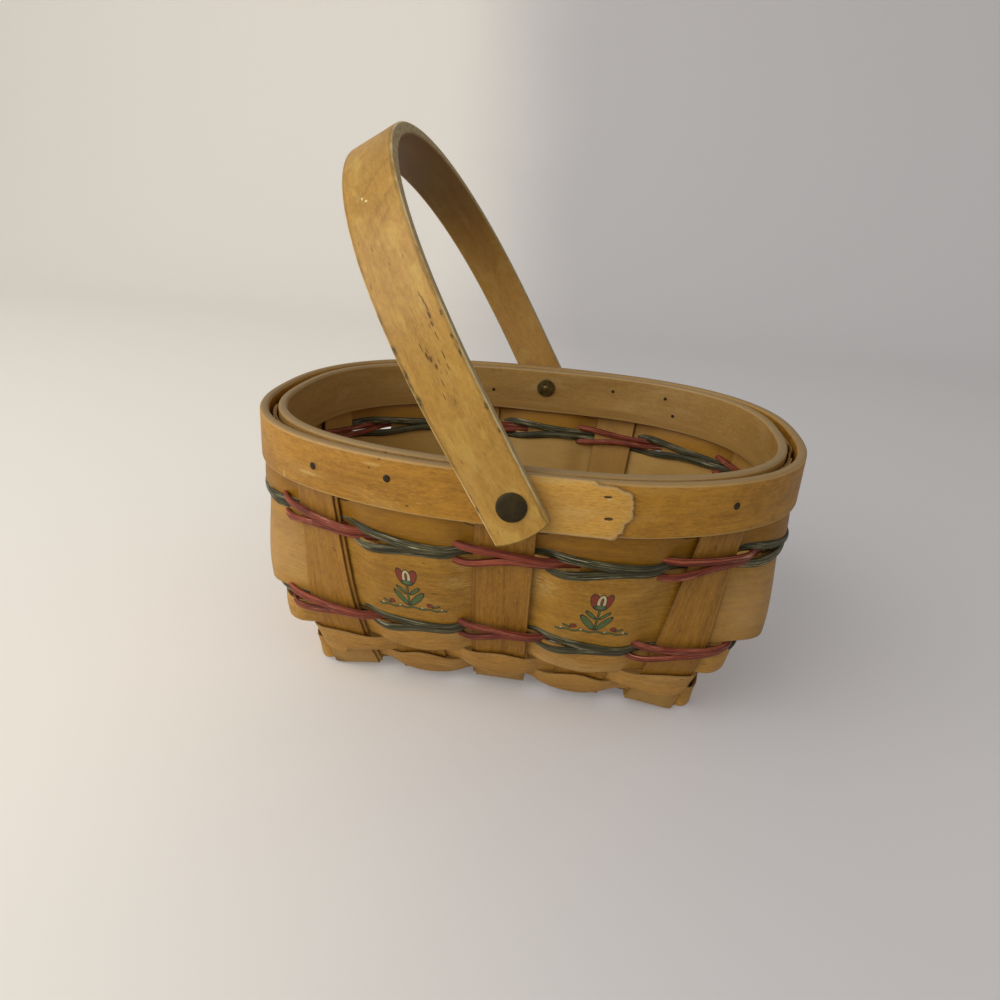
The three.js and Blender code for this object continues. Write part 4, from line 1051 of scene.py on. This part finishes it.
def makeReedStrand(row, colour, side, seed):
    deep, tall = reed["section"][colour]
    outside = reed["outside"][colour]
    turn = roundTurns(reed["steps"])
    opening = ((1 + np.cos(math.pi * (turn + outside + 0.5))) / 2) ** 2.2
    over = np.clip(np.cos(math.pi * (turn + outside)), 0, 1)
    height = row["centre"] + side * (reed["close"] + (reed["spread"] - reed["close"]) * opening)
    height = height + ripple(seed, reed["drift"], turn) + reed["climb"][colour] * over * (1 - 0.5 * opening)
    offset = weaveOffset(turn, outside, deep, reed["bulge"], reed["sharpness"])
    offset = offset + side * reed["stagger"] * (1 - opening) + reed["loose"] * ripple(seed + 50, 1.0, turn)
    offset = offset + cornerStand(turn, 0.5, row["stand"])
    middle, normal = wovenPoint(turn, height, offset)
    ahead = unit(np.roll(middle, -1, 0) - np.roll(middle, 1, 0))
    up = unit(np.cross(normal, ahead))
    level = unit(np.cross(ahead, up))
    full = 2 * math.pi * np.arange(reed["sides"] + 1) / reed["sides"]
    around = full[:-1]
    outward = (deep * np.sign(np.cos(around)) * np.abs(np.cos(around)) ** reed["flat"])[None, :, None]
    upward = (tall * np.sin(around))[None, :, None]
    swell = (1 + reed["swell"] * np.sin(turn * 9.3 + seed))[:, None, None]
    rings = middle[:, None] + swell * (level[:, None] * outward + up[:, None] * upward)
    grain = (runLength(middle), np.repeat((tall * full)[None], len(turn), 0))
    place, strand = row["place"], "high" if side > 0 else "low"
    name = f"reed{place.capitalize()}{colour.capitalize()}{strand.capitalize()}"
    piece = ringMesh(name, rings, grain, np.full(rings.shape[:2], 5.0), True, seed, sharp=180)
    dress(piece, "basket", f"{colour}_reed", colour, f"reed_{place}_{colour}_{strand}")


seed = reed["firstSeed"]
for row in reedRows:
    for colour in ("red", "green"):
        for side in (1, -1):
            seed += 3
            makeReedStrand(row, colour, side, seed)
print("reeds made")


# Rim bands: space is the gap from the wall's middle to each band
rim = {
    "thickness": 4.4, "space": 2.3, "outerBottom": 116.5, "innerBottom": 112.5, "top": 141.0,
    "round": 1.5, "foot": 0.7, "stations": 360,
}
rimOval = (shell["rimHalfLength"], shell["rimHalfWidth"], shell["rimSquareness"])


def rimPoint(angle):
    reach = ovalReach(angle, *rimOval)
    return np.stack([reach * np.cos(angle), reach * np.sin(angle)], -1)


def rimNormal(angle):
    way = unit(rimPoint(angle + nudge["angle"]) - rimPoint(angle - nudge["angle"]))
    return np.stack([way[..., 1], -way[..., 0]], -1)


# The rim's angle at a place along the front
def frontAngle(x):
    a, b, n = rimOval
    return np.arctan2(-b * (1 - np.abs(x / a) ** n) ** (1 / n), x)


# A band's section: four rounded corners, and points between them up the faces
def bandProfile(inside, outside, bottom, top):
    width = outside - inside
    big = np.minimum(rim["round"], width * 0.45)
    small = np.minimum(rim["foot"], width * 0.3)
    points = []
    for offset, z, radius, start, signX, signZ, between in (
        (inside, bottom, small, math.pi, -1, -1, ()),
        (outside, bottom, small, 1.5 * math.pi, 1, -1, (0.25, 0.5, 0.75)),
        (outside, top, big, 0.0, 1, 1, ()),
        (inside, top, big, 0.5 * math.pi, -1, 1, (0.9, 0.75, 0.5, 0.25)),
    ):
        for t in np.linspace(0, math.pi / 2, 5):
            points.append((
                offset - signX * radius + radius * math.cos(start + t),
                z - signZ * radius + radius * math.sin(start + t),
            ))
        points += [(offset, bottom + (top - bottom) * s) for s in between]
    return points


def bandMesh(name, angle, profile, loop, seed):
    flat, out = rimPoint(angle), rimNormal(angle)
    offsets, heights = (np.stack([p[axis] + 0 * angle for p in profile], 1) for axis in (0, 1))
    rings = np.concatenate([flat[:, None] + out[:, None] * offsets[..., None], heights[..., None]], -1)
    steps = np.linalg.norm(np.diff(rings, axis=1, append=rings[:, :1]), axis=2)
    across = np.concatenate([np.zeros((len(angle), 1)), np.cumsum(steps, 1)[:, :-1]], 1)
    top, bottom = heights.max(1, keepdims=True), heights.min(1, keepdims=True)
    margin = np.minimum(top - heights, (heights - bottom) * 1.6 + 0.2)
    return ringMesh(name, rings, (runLength(flat), across), margin, loop, seed, sharp=50)


def makeInnerBand():
    angle = np.linspace(0, 2 * math.pi, rim["stations"], endpoint=False)
    bottom = rim["innerBottom"] + 0.25 * np.sin(angle * 3 + 1) + 0.15 * np.sin(angle * 7)
    top = rim["top"] - 0.3 + 0.35 * np.sin(angle * 2 + 0.4)
    profile = bandProfile(-rim["space"] - rim["thickness"], -rim["space"], bottom, top)
    dress(bandMesh("bandInner", angle, profile, True, 301.0), "basket", "band", "inner", "band_inner")


# The outer band starts thin under its own lapped end at the front
lap = {"start": 4.0, "tip": 55.4, "taper": 0.9, "edge": 1.2, "gap": 0.25, "under": 2.0}


def lapShare(x):
    return np.clip((x - lap["start"]) / (lap["tip"] - lap["start"]), 0, 1)


def underLap(x):
    return lap["taper"] + (rim["thickness"] - lap["taper"]) * lapShare(x)


def makeOuterBand():
    startX = np.linspace(lap["start"] + 0.4, lap["tip"] + 1.0, 30)
    startAngles = frontAngle(startX)
    endAngle = frontAngle(np.array([lap["start"] - lap["under"]]))[0] + 2 * math.pi
    bodyAngles = np.linspace(startAngles[-1], endAngle, rim["stations"])[1:]
    angle = np.concatenate([startAngles, bodyAngles])
    outside = rim["space"] + np.concatenate([underLap(startX), np.full(len(bodyAngles), rim["thickness"])])
    wave = 0.3 * np.sin(angle * 3 + 2) + 0.2 * np.sin(angle * 8 + 1)
    profile = bandProfile(rim["space"] + 0 * angle, outside, rim["outerBottom"] + wave, rim["top"] - 0.2 + 0.2 * wave)
    dress(bandMesh("bandOuter", angle, profile, False, 311.0), "basket", "band", "band", "band_outer")


# The lapped end: a plate cut to the broken outline, as (x, z), with two nail slits. Fill is the
# first, last and step of its inner points along x and up z
broken = {
    "top": [
        (36.0, 141.0), (37.5, 140.7), (38.1, 139.5), (41.1, 139.3), (44.8, 138.9), (47.5, 138.1), (48.2, 137.5),
        (50.2, 137.2), (51.5, 136.3), (52.1, 135.2),
    ],
    "right": [
        (52.4, 132.0), (52.7, 128.6), (53.1, 126.0), (51.8, 124.4), (50.2, 122.6), (50.1, 120.4), (49.5, 119.0),
        (48.0, 118.2), (47.7, 116.4), (46.9, 115.6),
    ],
    "foot": [(43.0, 115.8), (36.0, 116.2)],
    "slits": [((43.3, 134.5), (1.9, 0.55), 0.25), ((44.7, 125.1), (2.3, 0.85), -0.12)],
    "step": 0.45, "jag": (0.34, 0.16), "seed": 12, "slitJag": 0.22, "slitPoints": 14,
    "straight": 35.0, "slope": 0.004, "footHeight": 116.2, "footWave": 0.1, "edgePoints": 18,
    "fill": ((1.5, 52.0, 1.6), (119.5, 139.0, 1.9)), "softEdge": (0.5, 0.18), "roundTop": (1.4, 1.1),
}


# Points along a torn edge: fibres run along the band, so it is jagged mostly that way
def tear(points, step, jag, seed):
    chance = np.random.RandomState(seed)
    made = []
    for (x0, z0), (x1, z1) in zip(points[:-1], points[1:]):
        count = max(1, int(math.hypot(x1 - x0, z1 - z0) / step))
        steep = abs(z1 - z0) / max(1e-6, math.hypot(x1 - x0, z1 - z0))
        for k in range(count):
            t = k / count
            made.append((x0 + (x1 - x0) * t + chance.uniform(-1, 1) * jag[0] * steep,
                         z0 + (z1 - z0) * t + chance.uniform(-1, 1) * jag[1]))
    return made


# The plate's outline, then a rough-edged hole for each slit
def lapLoops(start):
    points = broken["edgePoints"]
    top = [(x, rim["top"] - broken["slope"] * (x - start)) for x in np.linspace(start, broken["straight"], points)]
    foot = [(x, broken["footHeight"] + broken["footWave"] * math.sin(x * 0.3))
            for x in np.linspace(broken["straight"], start, points)]
    torn = tear(broken["top"] + broken["right"] + broken["foot"], broken["step"], broken["jag"], broken["seed"])
    loops = [top + torn + foot]
    for (x, z), (a, b), turn in broken["slits"]:
        chance = np.random.RandomState(int(z))
        hole = []
        for t in np.linspace(0, 2 * math.pi, broken["slitPoints"] + 1)[:-1]:
            r = 1 + chance.uniform(-broken["slitJag"], broken["slitJag"])
            u, v = a / 2 * r * math.cos(t), b / 2 * r * math.sin(t)
            hole.append((x + u * math.cos(turn) - v * math.sin(turn), z + u * math.sin(turn) + v * math.cos(turn)))
        loops.append(hole)
    return loops


def edgeDistance(spots, outline):
    p, q = outline, np.roll(outline, -1, 0)
    span = q - p
    share = ((spots[:, None] - p) * span).sum(-1) / np.maximum((span ** 2).sum(-1), 1e-9)
    nearest = p + np.clip(share, 0, 1)[..., None] * span
    return np.linalg.norm(spots[:, None] - nearest, axis=-1).min(1)


# Edges that only one face uses, in that face's order
def rimEdges(faces):
    sides = set()
    for face in faces:
        sides.update(zip(face, list(face[1:]) + [face[0]]))
    return sorted((a, b) for a, b in sides if (b, a) not in sides)


def makeLapEnd():
    start = lap["start"] - lap["under"]
    loops = lapLoops(start)
    points, edges = [], []
    for loop in loops:
        first = len(points)
        points += loop
        edges += [(first + k, first + (k + 1) % len(loop)) for k in range(len(loop))]
    (inset, right, stepX), (low, high, stepZ) = broken["fill"]
    fill = [(x, z) for x in np.arange(start + inset, right, stepX) for z in np.arange(low, high, stepZ)]
    flat = [Vector(p) for p in points + fill]
    verts, _, faces, _, _, _ = delaunay_2d_cdt(flat, edges, [], 2, 1e-5)
    spots = np.array([(v.x, v.y) for v in verts])
    margin = edgeDistance(spots, np.array(loops[0]))
    x, z = spots[:, 0], spots[:, 1]
    angle = frontAngle(x)
    base, out = rimPoint(angle), rimNormal(angle)
    inside = rim["space"] + underLap(x) + lap["gap"]
    face = rim["space"] + rim["thickness"] + (lap["edge"] + lap["gap"]) * lapShare(x)
    softWidth, softDepth = broken["softEdge"]
    roundWidth, roundDepth = broken["roundTop"]
    soft = 1 - np.clip((margin - 0.02) / softWidth, 0, 1)
    unbroken = 1 - np.clip((x - broken["straight"] + 1.0) / 4.0, 0, 1)
    nearTop = np.clip(1 - (rim["top"] - z) / roundWidth, 0, 1) * unbroken
    face = np.maximum(face - soft * softDepth - nearTop ** 2 * roundDepth, inside + 0.2)
    count = len(x)
    plate = [np.concatenate([base + out * depth[:, None], z[:, None]], 1) for depth in (face, inside)]
    allFaces = [list(f) for f in faces] + [[k + count for k in f][::-1] for f in faces]
    allFaces += [[b, a, a + count, b + count] for a, b in rimEdges(faces)]
    mesh = bpy.data.meshes.new("bandLap")
    mesh.from_pydata((np.concatenate(plate) * mm).tolist(), [], allFaces)
    flatUv = np.concatenate([spots, spots + np.array([0.0, 40.0])]) * mm
    addMap(mesh, "grain", flatUv[[loop.vertex_index for loop in mesh.loops]])
    values = {"margin": np.tile(margin + 0.32, 2), "seed": np.full(2 * count, 321.0)}
    dress(finishMesh("bandLap", mesh, values, 40), "basket", "band", "raw", "band_outer")


makeInnerBand()
makeOuterBand()
makeLapEnd()
print("bands made")


# Handle: its legs start outside the bands
gripOuter = shell["rimHalfWidth"] + rim["space"] + rim["thickness"] + grip["gap"] + grip["thickness"]


def gripRadius(angle):
    reach = [gripOuter + (grip["reach"] - gripOuter) * s for s in grip["spread"]]
    n = len(reach) - 1
    total = 0
    for k in range(n + 1):
        weight = sum((0.5 if j in (0, n) else 1) * r * math.cos(math.pi * j * k / n) for j, r in enumerate(reach))
        total = total + (0.5 if k in (0, n) else 1) * weight * 2 / n * np.cos(2 * k * angle)
    return total


def rotate(x, y, angle):
    c, s = math.cos(angle), math.sin(angle)
    return x * c - y * s, x * s + y * c


# From the upright strip to its place: tilted about the pivot's line, then turned with that line
def tilt(points):
    x, y, z = points[..., 0], points[..., 1], points[..., 2]
    x, z = rotate(x, z, math.radians(grip["tilt"]))
    x, y = rotate(x, y, math.radians(grip["turn"]))
    return np.stack([x, y, z], -1) + np.array(grip["pivot"])


def makeHandle():
    angle = np.linspace(0, math.pi, 1200)
    r = gripRadius(angle)
    arch = np.stack([-r * np.cos(angle), r * np.sin(angle)], -1)
    down = np.linspace(grip["foot"], 0.2, 30)
    line = np.concatenate([
        np.stack([-gripOuter + 0 * down, -down], -1), arch, np.stack([gripOuter + 0 * down, -down[::-1]], -1),
    ])
    run = runLength(line)
    even = np.linspace(0, run[-1], grip["stations"])
    y, z = np.interp(even, run, line[:, 0]), np.interp(even, run, line[:, 1])
    way = unit(np.stack([np.gradient(y), np.gradient(z)], -1))
    inward = np.stack([way[:, 1], -way[:, 0]], -1)
    w, t, e = grip["width"] / 2, grip["thickness"], grip["round"]
    right = [(w * s, t) for s in (0.3, 0.6)]
    right += [(w - e + e * math.sin(a), t - e + e * math.cos(a)) for a in np.linspace(0, math.pi / 2, 6)]
    right += [(w - e + e * math.cos(a), e - e * math.sin(a)) for a in np.linspace(0, math.pi / 2, 6)]
    right += [(w * s, 0.0) for s in (0.6, 0.3)]
    left = [(-x, d) for x, d in right[::-1]]
    profile = np.array([(0.0, t)] + right + [(0.0, 0.0)] + left)
    across, depth = profile[:, 0], profile[:, 1]
    ys = y[:, None] + inward[:, :1] * depth[None]
    zs = z[:, None] + inward[:, 1:] * depth[None]
    arc = grip["footRadius"] - np.sqrt(grip["footRadius"] ** 2 - across ** 2)
    fromFoot = np.minimum(even, even[-1] - even)
    keep = np.clip(1 - fromFoot / 11.0, 0, 1)
    zs = zs + keep[:, None] * arc[None]
    lift = np.hypot(np.maximum(zs, 0), grip["ease"]) - grip["ease"]
    ys = ys + grip["sway"] * lift / (math.hypot(grip["reach"], grip["ease"]) - grip["ease"])
    aside = np.clip(1 - (zs - 10.0) / 70.0, 0, 1) * np.clip(1 - even / even[-1] * 2, 0, 1)[:, None]
    xs = across[None] * (1 - 0.02 * aside) + grip["crook"] * aside
    rings = tilt(np.stack([xs, ys, zs], -1))
    steps = np.linalg.norm(np.diff(profile, axis=0, append=profile[:1]), axis=1)
    around = np.concatenate([[0], np.cumsum(steps)])
    around = around[-1] / 2 - around
    margin = np.minimum(fromFoot, 5.0)[:, None] + 0 * ys
    grain = (even, np.repeat(around[None], len(y), 0))
    piece = ringMesh("handleStrip", rings, grain, margin, False, 401.0, sharp=60)
    dress(piece, "handle", "handle_wood", "handle", "handle")


makeHandle()
print("handle made")


# Rivets, washers and tacks, turned from their profiles
def turned(name, profile, segments, place, axis, seed):
    up = Vector(axis).normalized()
    frameTurn = up.to_track_quat("Z", "Y").to_matrix()
    around = 2 * math.pi * np.arange(segments) / segments
    profile = np.array(profile)
    rings = np.stack([
        profile[:, :1] * np.cos(around)[None], profile[:, :1] * np.sin(around)[None],
        np.repeat(profile[:, 1:], segments, 1),
    ], -1)
    rings = rings @ np.array(frameTurn).T + np.array(place)
    edge = profile[:, 0].max()
    margin = np.repeat((edge - profile[:, :1]), segments, 1)
    run = np.arange(len(profile)) * 1.0
    across = np.repeat(around[None], len(profile), 0)
    return ringMesh(name, rings, (run, across), margin, False, seed, sharp=40)


fasteners = {
    "headRadius": 6.5, "headHeight": 1.5, "shank": 1.8, "headGap": 0.02, "burrRadius": 5.9, "burrHeight": 1.2,
    "peen": 1.9, "peenHeight": 0.8, "seat": 97.25, "centre": 0.01,
}


# Profiles are radii and distances out from the pivot
def makeRivet(place, side):
    size = fasteners
    base = gripOuter + size["headGap"]
    seat, tip = size["seat"], size["seat"] - size["burrHeight"]
    centre, shank, peen, peenHeight = size["centre"], size["shank"], size["peen"], size["peenHeight"]
    burr, r, h = size["burrRadius"], size["headRadius"], size["headHeight"]
    turn = math.radians(grip["turn"])
    axis = (-side * math.sin(turn), side * math.cos(turn), 0)
    dome = [(r * math.cos(t) ** 0.45, base + 0.35 + (h - 0.35) * math.sin(t)) for t in np.linspace(0.12, 1.5, 12)]
    headProfile = [(centre, base), (r * 0.98, base), (r, base + 0.15), *dome, (centre, base + h)]
    tipProfile = [
        (centre, tip - peenHeight), (peen * 0.55, tip - peenHeight * 0.85), (peen * 0.9, tip - peenHeight * 0.4),
        (peen, tip), (shank, tip), (shank, base - 0.1), (centre, base - 0.1),
    ]
    burrProfile = [
        (shank + 0.05, seat), (burr, seat), (burr, seat - 0.5), (burr * 0.93, seat - 0.95),
        (burr * 0.6, seat - 1.15), (shank + 0.35, seat - 1.2), (shank + 0.05, seat - 0.9),
    ]
    for name, profile, segments, seed, metal, node in (
        ("rivetHead", headProfile, 48, 501.0, "brass", "rivet"),
        ("rivetTip", tipProfile, 32, 503.0, "burr", "rivet"),
        ("burr", burrProfile, 48, 505.0, "burr", "burr"),
    ):
        piece = turned(name + place.capitalize(), profile, segments, grip["pivot"], axis, seed)
        dress(piece, "basket", "dark_brass", metal, f"{node}_{place}")


makeRivet("front", -1)
makeRivet("back", 1)

# Tacks: node, x and z, the front (-1) or the back (1), and the outer (1) or the inner (-1) band
tacks = [
    ("outer_1", -83.8, 128.5, -1, 1), ("outer_2", -48.4, 131.0, -1, 1), ("outer_3", 94.6, 129.6, -1, 1),
    ("outer_4", 84.0, 130.0, 1, 1), ("outer_5", 42.0, 131.0, 1, 1), ("outer_6", -90.0, 131.0, 1, 1),
    ("inner_1", -35.7, 124.7, 1, -1), ("inner_2", 45.6, 131.3, 1, -1), ("inner_3", 80.6, 132.0, 1, -1),
    ("inner_4", 87.0, 121.9, 1, -1), ("inner_5", -60.0, 130.0, -1, -1), ("inner_6", 52.0, 129.0, -1, -1),
]
tackHead = [(0.01, -0.3), (1.7, -0.3), (1.8, 0.02), (1.6, 0.22), (0.9, 0.34), (0.01, 0.36)]
tackSize = {1: 1.0, -1: 0.62}
for name, x, z, side, way in tacks:
    angle = -side * frontAngle(np.array(x))
    out = rimNormal(angle) * way
    place = rimPoint(angle) + out * (rim["space"] + rim["thickness"])
    cap = [(r * tackSize[way] if r > 0.01 else r, h) for r, h in tackHead]
    piece = turned("tack" + name.title().replace("_", ""), cap, 14, (*place, z), (*out, 0), 520.0)
    dress(piece, "basket", "steel", "tack", f"tack_{name}")
print("fasteners made")


# Floor, backdrop and light
studio = {
    "lit": rgb(236, 229, 218), "dim": rgb(196, 192, 191), "glow": 0.23, "width": 5.0, "front": -2.5,
    "bend": 1.1, "radius": 0.7, "height": 3.2, "world": 0.38, "worldColor": (0.98, 0.99, 1.0),
}


def makeStage():
    line = [(studio["front"], 0.0), (-0.6, 0.0), (0.4, 0.0), (studio["bend"], 0.0)]
    for t in np.linspace(0, math.pi / 2, 16)[1:]:
        line.append((studio["bend"] + studio["radius"] * math.sin(t), studio["radius"] * (1 - math.cos(t))))
    line.append((studio["bend"] + studio["radius"], studio["height"]))
    half = studio["width"] / 2
    verts = [(side * half, y, z) for y, z in line for side in (-1, 1)]
    faces = [(2 * k, 2 * k + 1, 2 * k + 3, 2 * k + 2) for k in range(len(line) - 1)]
    mesh = bpy.data.meshes.new("backdrop")
    mesh.from_pydata(verts, [], faces)
    mesh.shade_smooth()
    stage = addObject("backdrop", mesh)
    material, wire = newMaterial("palePaper")
    place = wire.objectPlace()
    mottle = wire.noise(place, 3.0, 3.0, 0.5)
    fine = wire.noise(place, 900.0, 2.0, 0.5)
    x, y = place.xy()
    # Painted light: the lit and dim colours copy the key light falling off to the right, and a glow that only camera
    # rays see lifts the shade on floor and backdrop
    across = (x + y * 0.12 + (mottle - 0.5) * 0.1).between(-0.26, 0.16)
    color = wire.blend(across, studio["lit"], studio["dim"])
    seen = wire.node("ShaderNodeLightPath")
    glow = wire.blend(seen, (0.0, 0.0, 0.0), color)
    fixed = {"Emission Color": glow, "Emission Strength": studio["glow"]}
    finishMaterial(wire, color, 0.7, fine, (0.08, 0.0002), fixed)
    mesh.materials.append(material)


makeStage()

lamps = [
    {"name": "key", "place": (-1.15, -1.0, 1.15), "size": 2.0, "power": 21.0, "color": (1.0, 0.985, 0.96)},
    {"name": "fill", "place": (1.3, -0.9, 0.9), "size": 1.4, "power": 1.5, "color": (0.96, 0.98, 1.0)},
    {"name": "bounce", "place": (-1.2, -0.7, 0.16), "size": 0.9, "power": 2.2, "color": (1.0, 0.96, 0.9)},
]
for lamp in lamps:
    data = bpy.data.lights.new(lamp["name"], "AREA")
    data.shape = "DISK"
    data.size = lamp["size"]
    data.energy = lamp["power"]
    data.color = lamp["color"]
    light = addObject(lamp["name"], data)
    light.location = lamp["place"]
    aim = Vector((0, 0, 0.08)) - Vector(lamp["place"])
    light.rotation_euler = aim.to_track_quat("-Z", "Y").to_euler()

world = bpy.data.worlds.new("studioWorld")
bpy.context.scene.world = world
world.use_nodes = True
background = world.node_tree.nodes["Background"]
background.inputs["Color"].default_value = (*studio["worldColor"], 1)
background.inputs["Strength"].default_value = studio["world"]
bpy.context.scene.view_settings.view_transform = "Standard"
print("stage and light set")
